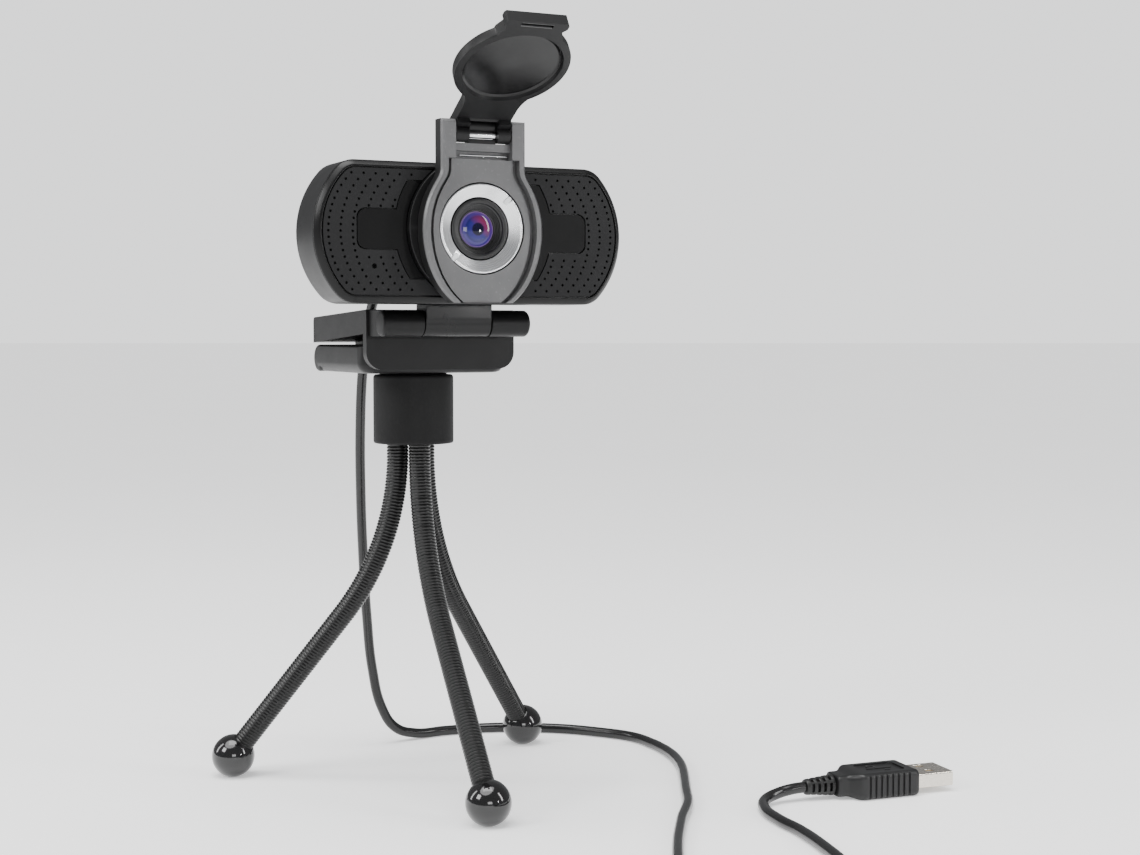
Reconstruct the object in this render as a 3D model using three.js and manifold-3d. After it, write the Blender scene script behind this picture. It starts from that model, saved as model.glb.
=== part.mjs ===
// Webcam on a mini gooseneck tripod: a folding monitor clip screwed to a three-legged stand, a wide
// camera body on a friction hinge, a flip-up privacy lid, and a USB lead with its spare length coiled.
// Millimetres, +Z up, the lens looks along -Y, the tripod stands on z = 0.
import * as THREE from 'three';
import { mergeVertices } from 'three/addons/utils/BufferGeometryUtils.js';
import Module from 'manifold-3d';

const wasm = await Module();
wasm.setup();

// ---------------------------------------------------------------- driving dimensions

const GAP = 0.3;                    // between pieces that touch
const PIN_PLAY = 0.3;               // round a hinge pin

// camera body
const BODY_WIDTH = 94;
const BODY_HEIGHT = 39.5;
const BODY_DEPTH = 26;
const BODY_CORNER_RADIUS = 7;
const BODY_SIDE_RADIUS = 26;
const BODY_WALL = 1.6;
const BODY_CHAMFER = 1.6;
const DOME_DEPTH = 9.5;
const DOME_INSET = 9;
const BEZEL_THICKNESS = 2;
const PANEL_MARGIN = 2.3;
const PANEL_THICKNESS = 0.8;

// lens and privacy frame
const LENS_RAISE = 1.25;            // lens axis above the middle of the body
const HOUSING_RADIUS = 20.3;
const FRAME_FRONT = 7.2;            // frame rim ahead of the panels
const FRAME_BACK = 2.1;
const FRAME_PLATE_FRONT = 5.6;
const FRAME_HALF_WIDTH = 18.1;
const FRAME_ARM_HALF = 12.7;
const FRAME_SLOT_HALF = 8.5;
const FRAME_TOP = 30;
const FRAME_BOTTOM = 20.8;
const FRAME_RIM = 2;
const FRAME_GROOVE = 1.5;
const RING_RADIUS = 12.6;
const BARREL_RADIUS = 8.6;
const BARREL_THREAD_RADIUS = 6;
const BARREL_LENGTH = 16.9;
const GLASS_RADIUS = 5.35;

// privacy lid
const LID_PIN_HEIGHT = 26;          // above the lens axis
const LID_PIN_DEPTH = 4.9;          // ahead of the panels
const LID_PIN_RADIUS = 1;
const LID_DISC_RADIUS = 16.1;
const LID_DISC_DROP = 26.5;
const LID_LENGTH = 46;
const LID_THICKNESS = 3.2;
const LID_RECESS_RADIUS = 14;
const LID_RECESS_DEPTH = 1.4;
const LID_TAB_HALF = 9.05;
const LID_KNUCKLE_RADIUS = 2.2;
const LID_KNUCKLE_LENGTH = 3.9;
const LID_OPEN_DEG = 120;

// clip
const CLIP_WIDTH = 47;
const CLIP_REACH = 57;              // front hinge axis to rear hinge axis
const FRONT_BARREL_RADIUS = 3.9;
const FRONT_BARREL_HALF = 23;
const REAR_BARREL_RADIUS = 4.2;
const NECK_WIDTH = 20.6;
const NECK_DEPTH = 8.3;
const NECK_RISE = 5.5;              // front hinge axis to the underside of the body
const NECK_BEHIND_PANEL = 15.5;
const ARM_FRONT_THICKNESS = 7;
const ARM_REAR_THICKNESS = 8;
const LIP_BEHIND_BARREL = 10;
const LIP_THICKNESS = 3;
const LIP_CORNER_RADIUS = 5;
const LIP_BOTTOM = 1.6;             // above the top of the tripod
const REAR_KNUCKLE_HALF = 9.7;
const CLIP_PIN_RADIUS = 1.2;
const FOOT_THICKNESS = 8;
const FOOT_CORNER_RADIUS = 5;
const FOOT_EDGE_INSET = 3;
const PAD_MARGIN = 2.6;
const PAD_THICKNESS = 1.2;
const REAR_AXIS_Y = 23.5;           // behind the tripod's axis

// tripod
const HUB_RADIUS = 12.35;
const HUB_HEIGHT = 21.6;
const HUB_TOP = 127;
const SLEEVE_WALL = 1.6;
const STUD_RADIUS = 3.15;           // 1/4-20 thread, outside
const STUD_REACH = 5.5;
const STUD_HEAD_HEIGHT = 3;
const STUD_HEAD_RADIUS = 6;
const LEG_RADIUS = 3.4;
const LEG_START = 5;                // leg axis from the tripod's axis, under the hub
const LEG_SPREAD = 57.8;            // foot centre from the tripod's axis
const LEG_SLOPE_DEG = 38;           // straight lower stretch, from the vertical
const BALL_RADIUS = 6.7;
const BALL_FLAT_RADIUS = 2;

// lead
const CORD_DIAMETER = 3.3;
const CORD_SIDES = 8;
const GLAND_LENGTH = 16;
const GLAND_DROP = 5;               // below the middle of the body
const COIL_TURN_RADIUS = 19;
const COIL_RADIAL_TURNS = 4;
const COIL_LAYERS = 2;
const TIE_THICKNESS = 0.6;
const TIE_WIDTH = 6;
const TIE_ANGLE_DEG = 244;
const PLUG_SHELL_LENGTH = 12.2;     // USB-A plug
const PLUG_SHELL_WIDTH = 12;
const PLUG_SHELL_HEIGHT = 4.5;
const PLUG_SHELL_WALL = 0.5;
const PLUG_TONGUE_HEIGHT = 1.8;
const PLUG_BODY_LENGTH = 25.6;
const PLUG_BODY_WIDTH = 15.2;
const PLUG_BODY_HEIGHT = 8;
const PLUG_NOSE_WIDTH = 8.8;
const PLUG_NOSE_HEIGHT = 6.4;
const PLUG_RELIEF_LENGTH = 9;

// ---------------------------------------------------------------- solids

const finish = (color, roughness, metalness = 0) => ({ color, roughness, metalness });
const SATIN_BLACK = finish(0x161617, 0.45);
const DARK_GREY = finish(0x3a3a3c, 0.6);
const INLAY_BLACK = finish(0x101011, 0.35);
const ANTHRACITE = finish(0x6c6c70, 0.4);
const RUBBER = finish(0x0b0b0b, 0.85);
const SOFT_SLEEVE = finish(0x262627, 0.75);
const STEEL = finish(0xb9bcc0, 0.25, 1);
const BRASS = finish(0xb58a3c, 0.35, 1);
const SILVER = finish(0xc9cacd, 0.28, 1);
const COATED_GLASS = finish(0x2a2470, 0.05);
const GREEN_BOARD = finish(0x14512c, 0.5);
const CHIP = finish(0x222226, 0.3);
const CLEAR_PLASTIC = finish(0xe6e8ea, 0.2);

function toSolid(shape) {
  if (!shape.isBufferGeometry) return shape;
  const bare = shape.clone();
  bare.deleteAttribute('normal');
  bare.deleteAttribute('uv');
  const merged = mergeVertices(bare, 1e-4);
  return new wasm.Manifold(new wasm.Mesh({
    numProp: 3,
    vertProperties: merged.attributes.position.array,
    triVerts: new Uint32Array(merged.index.array),
  }));
}

function toGeometry(solid) {
  const mesh = solid.getMesh();
  const geometry = new THREE.BufferGeometry();
  geometry.setAttribute('position', new THREE.BufferAttribute(mesh.vertProperties, 3));
  geometry.setIndex(new THREE.BufferAttribute(mesh.triVerts, 1));
  geometry.computeVertexNormals();
  return geometry;
}

const join = (first, ...others) => others.reduce((sum, next) => sum.add(toSolid(next)), toSolid(first));
const cut = (first, ...others) => others.reduce((sum, next) => sum.subtract(toSolid(next)), toSolid(first));
const common = (first, ...others) => (
  others.reduce((sum, next) => sum.intersect(toSolid(next)), toSolid(first)));

function addPiece(parent, name, shape, look) {
  const geometry = shape.isBufferGeometry ? shape : toGeometry(shape);
  const mesh = new THREE.Mesh(geometry, new THREE.MeshStandardMaterial(look));
  mesh.name = name;
  parent.add(mesh);
  return mesh;
}

function box(x0, x1, y0, y1, z0, z1) {
  const geometry = new THREE.BoxGeometry(x1 - x0, y1 - y0, z1 - z0);
  return geometry.translate((x0 + x1) / 2, (y0 + y1) / 2, (z0 + z1) / 2);
}

// a round solid about the Z axis, from [radius, height] pairs that start and end on the axis or close
function turned(profile, sides = 24) {
  const points = profile.map(([r, z]) => new THREE.Vector2(r, z));
  const climbing = THREE.ShapeUtils.area(points) > 0;
  return new THREE.LatheGeometry(climbing ? points : points.reverse(), sides).rotateX(Math.PI / 2);
}

const rod = (radius, z0, z1, sides = 24) => turned([[0, z0], [radius, z0], [radius, z1], [0, z1]], sides);
const tubeProfile = (inner, outer, z0, z1) => [
  [inner, z0], [outer, z0], [outer, z1], [inner, z1], [inner, z0]];

// the same solids lying along Y (profile heights become y) or along X
const alongY = (geometry) => geometry.rotateX(-Math.PI / 2);
const alongX = (geometry) => geometry.rotateY(Math.PI / 2);

// a solid through outlines of equal point count; place() puts an outline point at its level
function loft(sectionsAnyTurn, place) {
  const clockwise = THREE.ShapeUtils.isClockWise(sectionsAnyTurn[0].outline);
  const sections = sectionsAnyTurn.map(({ level, outline }) => (
    { level, outline: clockwise ? [...outline].reverse() : outline }));
  const count = sections[0].outline.length;
  const positions = [];
  const faces = [];
  for (const { level, outline } of sections) {
    for (const point of outline) positions.push(...place(point.x, point.y, level));
  }
  for (let s = 0; s + 1 < sections.length; s += 1) {
    for (let i = 0; i < count; i += 1) {
      const a = s * count + i;
      const b = s * count + ((i + 1) % count);
      faces.push([a, b, b + count], [a, b + count, a + count]);
    }
  }
  const last = (sections.length - 1) * count;
  for (const [a, b, c] of THREE.ShapeUtils.triangulateShape(sections[0].outline, [])) faces.push([c, b, a]);
  for (const [a, b, c] of THREE.ShapeUtils.triangulateShape(sections.at(-1).outline, [])) {
    faces.push([last + a, last + b, last + c]);
  }
  const corner = (i) => new THREE.Vector3().fromArray(positions, 3 * i);
  const volume = faces.reduce((sum, [a, b, c]) => sum + corner(a).dot(corner(b).cross(corner(c))), 0);
  const geometry = new THREE.BufferGeometry();
  geometry.setAttribute('position', new THREE.Float32BufferAttribute(positions, 3));
  geometry.setIndex(faces.flatMap(([a, b, c]) => (volume < 0 ? [a, c, b] : [a, b, c])));
  return geometry;
}

const facingFront = (x, v, level) => [x, level, v];
const facingUp = (x, v, level) => [x, v, level];
const facingSide = (y, v, level) => [level, y, v];
const slab = (outline, low, high, place) => loft([{ level: low, outline }, { level: high, outline }], place);

function arc(cx, cy, radius, fromDeg, toDeg, steps) {
  const points = [];
  for (let i = 0; i <= steps; i += 1) {
    const a = THREE.MathUtils.degToRad(fromDeg + ((toDeg - fromDeg) * i) / steps);
    points.push(new THREE.Vector2(cx + radius * Math.cos(a), cy + radius * Math.sin(a)));
  }
  return points;
}

function roundedRect(x0, x1, y0, y1, lowRadius, highRadius = lowRadius, steps = 4) {
  return [
    ...arc(x1 - highRadius, y1 - highRadius, highRadius, 90, 0, steps),
    ...arc(x1 - lowRadius, y0 + lowRadius, lowRadius, 0, -90, steps),
    ...arc(x0 + lowRadius, y0 + lowRadius, lowRadius, -90, -180, steps),
    ...arc(x0 + highRadius, y1 - highRadius, highRadius, 180, 90, steps),
  ];
}

// ---------------------------------------------------------------- camera body
// camera frame: origin at the middle of the body's face, on the panels' plane

function bodyOutline(inset) {
  const halfHeight = BODY_HEIGHT / 2 - inset;
  const corner = Math.max(BODY_CORNER_RADIUS - inset, 2);
  const side = BODY_SIDE_RADIUS - inset;
  const sideCentre = BODY_WIDTH / 2 - BODY_SIDE_RADIUS;
  const turn = Math.asin((halfHeight - corner) / (side - corner));
  const turnDeg = THREE.MathUtils.radToDeg(turn);
  const cornerX = sideCentre + (side - corner) * Math.cos(turn);
  const right = [
    ...arc(cornerX, halfHeight - corner, corner, 90, turnDeg, 3),
    ...arc(sideCentre, 0, side, turnDeg, -turnDeg, 8).slice(1, -1),
    ...arc(cornerX, corner - halfHeight, corner, -turnDeg, -90, 3),
  ];
  return [...right, ...right.map((p) => new THREE.Vector2(-p.x, p.y)).reverse()];
}

function bodyInset(y) {
  if (y < BODY_CHAMFER) return BODY_CHAMFER - y;
  const intoDome = (y - (BODY_DEPTH - DOME_DEPTH)) / DOME_DEPTH;
  return intoDome <= 0 ? 0 : DOME_INSET * (1 - Math.cos((intoDome * Math.PI) / 2));
}

const bodyLoft = (levels, wall) => loft(
  levels.map((y) => ({ level: y, outline: bodyOutline(bodyInset(y) + wall) })),
  facingFront,
);

const camera = new THREE.Group();
const SCREW_X = 31;
const MIC_X = -30;
const MIC_BELOW = 9.5;
const BOSS_RADIUS = 3;
const SCREW_HEAD_RADIUS = 2.3;
const SCREW_SHANK_RADIUS = 0.95;
const REAR_SEAT = BODY_DEPTH - 3;
const BOSS_END = REAR_SEAT - 7.5;
const SCREW_TIP = 8;
const lensHigh = (geometry) => geometry.translate(0, 0, LENS_RAISE);

function frontBezel() {
  const recess = slab(bodyOutline(PANEL_MARGIN - GAP), -1, PANEL_THICKNESS + GAP, facingFront);
  const lensHole = lensHigh(alongY(rod(BARREL_RADIUS + 1, -1, BEZEL_THICKNESS + 1)));
  const micHole = alongY(rod(0.7, -1, BEZEL_THICKNESS + 1, 8)).translate(MIC_X, 0, -MIC_BELOW);
  const blank = bodyLoft([0, BODY_CHAMFER, BEZEL_THICKNESS], 0);
  let bezel = cut(blank, recess, housingBlank(GAP), lensHole, micHole);
  for (const side of [-1, 1]) {
    const at = (geometry) => alongY(geometry).translate(side * SCREW_X, 0, 0);
    const boss = at(rod(BOSS_RADIUS, BEZEL_THICKNESS - 0.5, BOSS_END, 12));
    const bore = at(rod(SCREW_SHANK_RADIUS + GAP, SCREW_TIP - 2, BOSS_END + 1, 10));
    bezel = cut(join(bezel, boss), bore);
  }
  return bezel;
}

function rearShell() {
  const dome = BODY_DEPTH - DOME_DEPTH;
  const domeLevels = [0.18, 0.5, 0.8, 1].map((share) => dome + share * DOME_DEPTH);
  const start = BEZEL_THICKNESS + GAP;
  const inside = [start - 1, dome, ...domeLevels.slice(0, -1), BODY_DEPTH - BODY_WALL];
  let shell = cut(bodyLoft([start, dome, ...domeLevels], 0), bodyLoft(inside, BODY_WALL));
  for (const side of [-1, 1]) {
    const at = (geometry) => alongY(geometry).translate(side * SCREW_X, 0, 0);
    const boss = at(rod(BOSS_RADIUS + 0.6, BOSS_END + GAP, BODY_DEPTH - 0.8, 16));
    const shankHole = at(rod(SCREW_SHANK_RADIUS + GAP, BOSS_END - 1, BODY_DEPTH + 1, 12));
    const headHole = at(rod(SCREW_HEAD_RADIUS + GAP, REAR_SEAT, BODY_DEPTH + 1, 16));
    shell = cut(join(shell, boss), shankHole, headHole);
  }
  const glandHole = alongY(rod(GLAND_NECK_RADIUS + GAP, BODY_DEPTH - 4, BODY_DEPTH + 1, 16));
  const neckHoles = [-1, 1].map((side) => rod(SCREW_SHANK_RADIUS + GAP, -BODY_HEIGHT / 2 - 1,
    -BODY_HEIGHT / 2 + BODY_WALL + 1, 12).translate(side * NECK_SCREW_X, NECK_BEHIND_PANEL, 0));
  return cut(shell, glandHole.translate(0, 0, -GLAND_DROP), ...neckHoles);
}

const GLAND_NECK_RADIUS = 3;
const NECK_SCREW_X = 6;

// side = -1 left, +1 right; grow widens the outline for the clearance cut in the grille
function inlayBlank(side, grow) {
  const back = PANEL_THICKNESS + grow;
  const band = alongY(rod(HOUSING_RADIUS + 3.6 + grow, -grow, back, 40)).translate(0, 0, LENS_RAISE);
  const bandBox = box(8, 40, -1 - grow, back + 1, LENS_RAISE - 14 - grow, LENS_RAISE + 13 + grow);
  const tongue = slab(roundedRect(15, 34.8 + grow, LENS_RAISE - 6 - grow, LENS_RAISE + 5 + grow, 2.5),
    -grow, back, facingFront);
  const blank = join(common(band, bandBox), tongue);
  return side > 0 ? blank : blank.mirror([1, 0, 0]);
}

const housingBlank = (grow) => common(
  lensHigh(alongY(rod(HOUSING_RADIUS + grow, -FRAME_BACK + GAP, PANEL_THICKNESS + grow, 36))),
  slab(bodyOutline(-grow), -FRAME_BACK, PANEL_THICKNESS + grow, facingFront),
);

function inlay(side) {
  const face = slab(bodyOutline(PANEL_MARGIN), 0, PANEL_THICKNESS, facingFront);
  const clear = lensHigh(alongY(rod(HOUSING_RADIUS + GAP, -1, PANEL_THICKNESS + 1, 36)));
  return cut(common(inlayBlank(side, 0), face), clear);
}

function grille(side) {
  const face = slab(bodyOutline(PANEL_MARGIN), 0, PANEL_THICKNESS, facingFront);
  const half = side > 0 ? box(1, 60, -1, 2, -30, 30) : box(-60, -1, -1, 2, -30, 30);
  const clear = lensHigh(alongY(rod(HOUSING_RADIUS + GAP, -1, PANEL_THICKNESS + 1, 36)));
  const micHole = alongY(rod(0.7, -1, PANEL_THICKNESS + 1, 8)).translate(MIC_X, 0, -MIC_BELOW);
  return cut(common(face, half), clear, inlayBlank(side, GAP), micHole);
}

function bodyPieces() {
  addPiece(camera, 'front_bezel', frontBezel(), SATIN_BLACK);
  addPiece(camera, 'rear_shell', rearShell(), SATIN_BLACK);
  for (const [side, word] of [[-1, 'left'], [1, 'right']]) {
    addPiece(camera, `grille_${word}`, grille(side), DARK_GREY);
    addPiece(camera, `inlay_${word}`, inlay(side), INLAY_BLACK);
    const head = REAR_SEAT + GAP;
    const screw = alongY(turned([[0, SCREW_TIP], [SCREW_SHANK_RADIUS, SCREW_TIP], [SCREW_SHANK_RADIUS, head],
      [SCREW_HEAD_RADIUS, head], [SCREW_HEAD_RADIUS, head + 1.5], [0, head + 1.5]], 12));
    addPiece(camera, `body_screw_${word}`, screw.translate(side * SCREW_X, 0, 0), STEEL);
  }
  const bore = lensHigh(alongY(rod(BARREL_RADIUS + GAP, -5, 5)));
  addPiece(camera, 'lens_housing', cut(housingBlank(0), bore), INLAY_BLACK);
}

// ---------------------------------------------------------------- lens and electronics

function lensRing() {
  const inner = BARREL_RADIUS + GAP;
  const profile = [[inner, -FRAME_BACK - GAP], [RING_RADIUS, -FRAME_BACK - GAP], [RING_RADIUS, -5.3],
    [RING_RADIUS - 0.6, -5.4], [RING_RADIUS - 1.2, -5.1], [inner, -3.7], [inner, -FRAME_BACK - GAP]];
  let ring = toSolid(lensHigh(alongY(turned(profile, 36))));
  for (const spot of lightSpots()) {
    ring = cut(ring, alongY(rod(0.7 + GAP, -8, 0, 10)).translate(spot.x, 0, spot.y + LENS_RAISE));
  }
  return ring;
}

const LIGHT_RADIUS = 11.3;
const lightSpots = () => [45, 225].map((deg) => arc(0, 0, LIGHT_RADIUS, deg, deg, 1)[0]);

function lensBarrel() {
  const bore = GLASS_RADIUS + GAP;
  const profile = [[BARREL_THREAD_RADIUS - 1.6, 13], [BARREL_THREAD_RADIUS, 13], [BARREL_THREAD_RADIUS, 0.5],
    [BARREL_RADIUS, 0.5], [BARREL_RADIUS, 13 - BARREL_LENGTH], [BARREL_RADIUS - 0.7, 12.7 - BARREL_LENGTH],
    [BARREL_RADIUS - 1.4, 13 - BARREL_LENGTH], [BARREL_RADIUS - 1.4, -3.1], [6.2, -2.7], [bore, -1.4],
    [bore, 1.3], [BARREL_THREAD_RADIUS - 1.6, 1.3], [BARREL_THREAD_RADIUS - 1.6, 13]];
  return lensHigh(alongY(turned(profile, 24)));
}

function lensPieces() {
  addPiece(camera, 'lens_ring', lensRing(), SILVER);
  lightSpots().forEach((spot, i) => {
    const pipe = alongY(rod(0.7, -5, -FRAME_BACK - GAP, 8)).translate(spot.x, 0, spot.y + LENS_RAISE);
    addPiece(camera, `light_pipe_${i + 1}`, pipe, CLEAR_PLASTIC);
  });
  addPiece(camera, 'lens_barrel', lensBarrel(), INLAY_BLACK);
  const inner = BARREL_THREAD_RADIUS - 1.6 - GAP;
  const front = [[0, -2.5], [2, -2.35], [3.8, -1.75], [GLASS_RADIUS, -0.8], [GLASS_RADIUS, 1], [0, 1]];
  addPiece(camera, 'front_lens', lensHigh(alongY(turned(front))), COATED_GLASS);
  const middle = [[0, 2.2], [inner, 2.8], [inner, 4], [0, 4.4]];
  addPiece(camera, 'middle_lens', lensHigh(alongY(turned(middle, 16))), COATED_GLASS);
  const stop = tubeProfile(1.9, inner, 4.9, 5.3);
  addPiece(camera, 'aperture_stop', lensHigh(alongY(turned(stop, 16))), INLAY_BLACK);
  const rear = [[0, 7.6], [inner, 8.2], [inner, 9.6], [0, 10]];
  addPiece(camera, 'rear_lens', lensHigh(alongY(turned(rear, 16))), COATED_GLASS);
  const bore = lensHigh(alongY(rod(BARREL_THREAD_RADIUS + GAP, 6, 20)));
  const high = LENS_RAISE;
  const holder = cut(box(-8.5, 8.5, 7.5, BOARD_FRONT - GAP, high - 8.5, high + 8.5), bore,
    box(-5.5, 5.5, 13.3, 20, high - 5.5, high + 5.5));
  addPiece(camera, 'lens_holder', holder, INLAY_BLACK);
  addPiece(camera, 'infrared_filter', box(-4, 4, 13.7, 14.2, high - 4, high + 4), COATED_GLASS);
  addPiece(camera, 'image_sensor', box(-3.5, 3.5, 15, BOARD_FRONT - GAP, high - 3.5, high + 3.5), CHIP);
}

const BOARD_FRONT = 16.7;
const BOARD_BACK = 18.3;

function electronics() {
  addPiece(camera, 'main_board', box(-26, 26, BOARD_FRONT, BOARD_BACK, -12.2, 11), GREEN_BOARD);
  addPiece(camera, 'video_processor', box(-6, 6, BOARD_BACK + GAP, BOARD_BACK + 1.6, -1, 9), CHIP);
  const connector = box(-4.5, 4.5, BOARD_BACK + GAP, BOARD_BACK + 3.6, -10.5, -6);
  addPiece(camera, 'lead_connector', connector, CLEAR_PLASTIC);
  const microphone = alongY(rod(2, BEZEL_THICKNESS + 0.9, BEZEL_THICKNESS + 2.4, 16));
  addPiece(camera, 'microphone', microphone.translate(MIC_X, 0, -MIC_BELOW), STEEL);
  const boot = alongY(turned(tubeProfile(2 + GAP, 3.4, BEZEL_THICKNESS + GAP, BEZEL_THICKNESS + 3), 16));
  addPiece(camera, 'microphone_boot', boot.translate(MIC_X, 0, -MIC_BELOW), RUBBER);
}

function gland() {
  const neck = GLAND_NECK_RADIUS;
  const out = BODY_DEPTH + GAP;
  const profile = [[0, BODY_DEPTH - BODY_WALL - 2], [neck + 1.2, BODY_DEPTH - BODY_WALL - 2],
    [neck + 1.2, BODY_DEPTH - BODY_WALL - GAP], [neck, BODY_DEPTH - BODY_WALL - GAP], [neck, out],
    [neck + 1.2, out], [neck + 1, out + 2.4], [CORD_DIAMETER / 2 + 0.7, out + GLAND_LENGTH],
    [0, out + GLAND_LENGTH]];
  return alongY(turned(profile, 16)).translate(0, 0, -GLAND_DROP);
}

// ---------------------------------------------------------------- privacy frame and lid

// keyhole half-width at a height above the lens axis
function frameHalfWidth(z) {
  const reach = z > -0.5 ? 21 : 23.3;
  const round = FRAME_HALF_WIDTH * Math.sqrt(Math.max(0, 1 - ((z + 0.5) / reach) ** 2));
  if (z < 0) return round;
  return FRAME_ARM_HALF + Math.log(1 + Math.exp((round - FRAME_ARM_HALF) * 1.6)) / 1.6;
}

function frameOutline(inset, low = -FRAME_BOTTOM, high = FRAME_TOP) {
  const right = [];
  const steps = 12;
  for (let i = 0; i <= steps; i += 1) {
    const z = high + ((low - high) * i) / steps;
    right.push(new THREE.Vector2(frameHalfWidth(z) - inset, z));
  }
  return [...right, ...right.map((p) => new THREE.Vector2(-p.x, p.y)).reverse()];
}

function privacyFrame() {
  const outside = loft([
    { level: -FRAME_FRONT, outline: frameOutline(0.5, -FRAME_BOTTOM + 0.5, FRAME_TOP - 0.5) },
    { level: -FRAME_FRONT + 0.6, outline: frameOutline(0) },
    { level: -FRAME_BACK, outline: frameOutline(0) },
  ], facingFront);
  const sight = slab(frameOutline(FRAME_RIM, -FRAME_BOTTOM - 1, 19.2), -9, -FRAME_PLATE_FRONT, facingFront);
  const grooveOuter = slab(frameOutline(FRAME_RIM, -FRAME_BOTTOM - 1, 19.2), -9, -4.2, facingFront);
  const innerEdge = frameOutline(FRAME_RIM + FRAME_GROOVE, -FRAME_BOTTOM - 2, 20);
  const grooveInner = slab(innerEdge, -10, -3, facingFront);
  const half = FRAME_SLOT_HALF;
  const hingeSlot = box(-half, half, -9, 0, 23.2, FRAME_TOP + 1);
  const lineSlot = box(-half, half, -9, -3.4, 19.2, 21.4);
  const barFace = box(-half, half, -9, -FRAME_PLATE_FRONT, 21, 24);
  const ringHole = alongY(rod(RING_RADIUS + GAP, -10, 0, 36));
  const pinHole = alongX(rod(LID_PIN_RADIUS + PIN_PLAY, -LID_PIN_HALF - GAP, LID_PIN_HALF + GAP, 16))
    .translate(0, -LID_PIN_DEPTH, LID_PIN_HEIGHT);
  return cut(outside, sight, cut(grooveOuter, grooveInner), hingeSlot, lineSlot, barFace, ringHole, pinHole)
    .translate([0, 0, LENS_RAISE]);
}

const LID_PIN_HALF = FRAME_ARM_HALF - 1.5;

// lid frame: origin on the hinge pin, closed lid hangs along -Z with its inner face towards +Y
function privacyLid() {
  const back = LID_PIN_DEPTH - FRAME_FRONT - GAP;
  const front = back - LID_THICKNESS;
  const edge = 0.7;
  const disc = alongY(turned([[0, back], [LID_DISC_RADIUS, back], [LID_DISC_RADIUS, front + edge],
    [LID_DISC_RADIUS - edge, front], [0, front]], 32)).translate(0, 0, -LID_DISC_DROP);
  const neckHalf = FRAME_SLOT_HALF - GAP;
  const neck = slab([new THREE.Vector2(neckHalf, -3.4), new THREE.Vector2(neckHalf, -9),
    new THREE.Vector2(neckHalf + 3, -16), new THREE.Vector2(-neckHalf - 3, -16),
    new THREE.Vector2(-neckHalf, -9), new THREE.Vector2(-neckHalf, -3.4)], front, back, facingFront);
  const tab = box(-LID_TAB_HALF, LID_TAB_HALF, front, back, -LID_LENGTH, -LID_DISC_DROP - 8);
  const recess = alongY(rod(LID_RECESS_RADIUS, back - LID_RECESS_DEPTH, back + 1, 32))
    .translate(0, 0, -LID_DISC_DROP);
  let lid = cut(join(disc, neck, tab), recess);
  for (const side of [-1, 1]) {
    const middle = side * (neckHalf - LID_KNUCKLE_LENGTH / 2);
    const half = LID_KNUCKLE_LENGTH / 2;
    const knuckle = alongX(rod(LID_KNUCKLE_RADIUS, -half, half, 16)).translate(middle, 0, 0);
    const bracket = box(middle - half, middle + half, front, -1, -4, 1.8);
    lid = join(lid, knuckle, bracket);
  }
  return cut(lid, alongX(rod(LID_PIN_RADIUS + PIN_PLAY, -20, 20, 16)));
}

function framePieces() {
  addPiece(camera, 'privacy_frame', privacyFrame(), ANTHRACITE);
  const pin = alongX(rod(LID_PIN_RADIUS, -LID_PIN_HALF, LID_PIN_HALF, 12));
  addPiece(camera, 'lid_pin', pin.translate(0, -LID_PIN_DEPTH, LENS_RAISE + LID_PIN_HEIGHT), STEEL);
  const lidGroup = new THREE.Group();
  lidGroup.position.set(0, -LID_PIN_DEPTH, LENS_RAISE + LID_PIN_HEIGHT);
  lidGroup.rotation.x = THREE.MathUtils.degToRad(-LID_OPEN_DEG);
  camera.add(lidGroup);
  addPiece(lidGroup, 'privacy_lid', privacyLid(), DARK_GREY);
}

// ---------------------------------------------------------------- neck and clip
// clip frame: x and y from the tripod's axis, z from the top of the tripod

const clip = new THREE.Group();
const FOOT_BOTTOM = GAP;
const REAR_AXIS_Z = FOOT_BOTTOM + REAR_BARREL_RADIUS;
const FRONT_AXIS_Y = REAR_AXIS_Y - CLIP_REACH;
const FRONT_AXIS_Z = 15.1;
const LIP_FRONT = FRONT_AXIS_Y + LIP_BEHIND_BARREL;
const ARM_TOP = FRONT_AXIS_Z + FRONT_BARREL_RADIUS + 0.2;
const ARM_REAR_END = REAR_AXIS_Y + 3;
const ARM_REAR_TOP = ARM_TOP - 1.9;
const NOTCH_BACK = FRONT_AXIS_Y + 7;

// camera frame placed in the clip frame
const CAMERA_Y = FRONT_AXIS_Y - NECK_BEHIND_PANEL;
const CAMERA_Z = FRONT_AXIS_Z + NECK_RISE + BODY_HEIGHT / 2;

function neckBracket() {
  const half = NECK_WIDTH / 2;
  const knuckle = alongX(rod(FRONT_BARREL_RADIUS, -half, half, 24));
  const block = box(-half, half, -NECK_DEPTH / 2, NECK_DEPTH / 2, 0, NECK_RISE - GAP);
  const bore = alongX(rod(CLIP_PIN_RADIUS + PIN_PLAY, -20, 20, 16));
  const screwHoles = [-1, 1].map((side) => rod(SCREW_SHANK_RADIUS + GAP, 2.4, 9, 12)
    .translate(side * NECK_SCREW_X, 0, 0));
  return cut(join(knuckle, block), bore, ...screwHoles);
}

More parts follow.
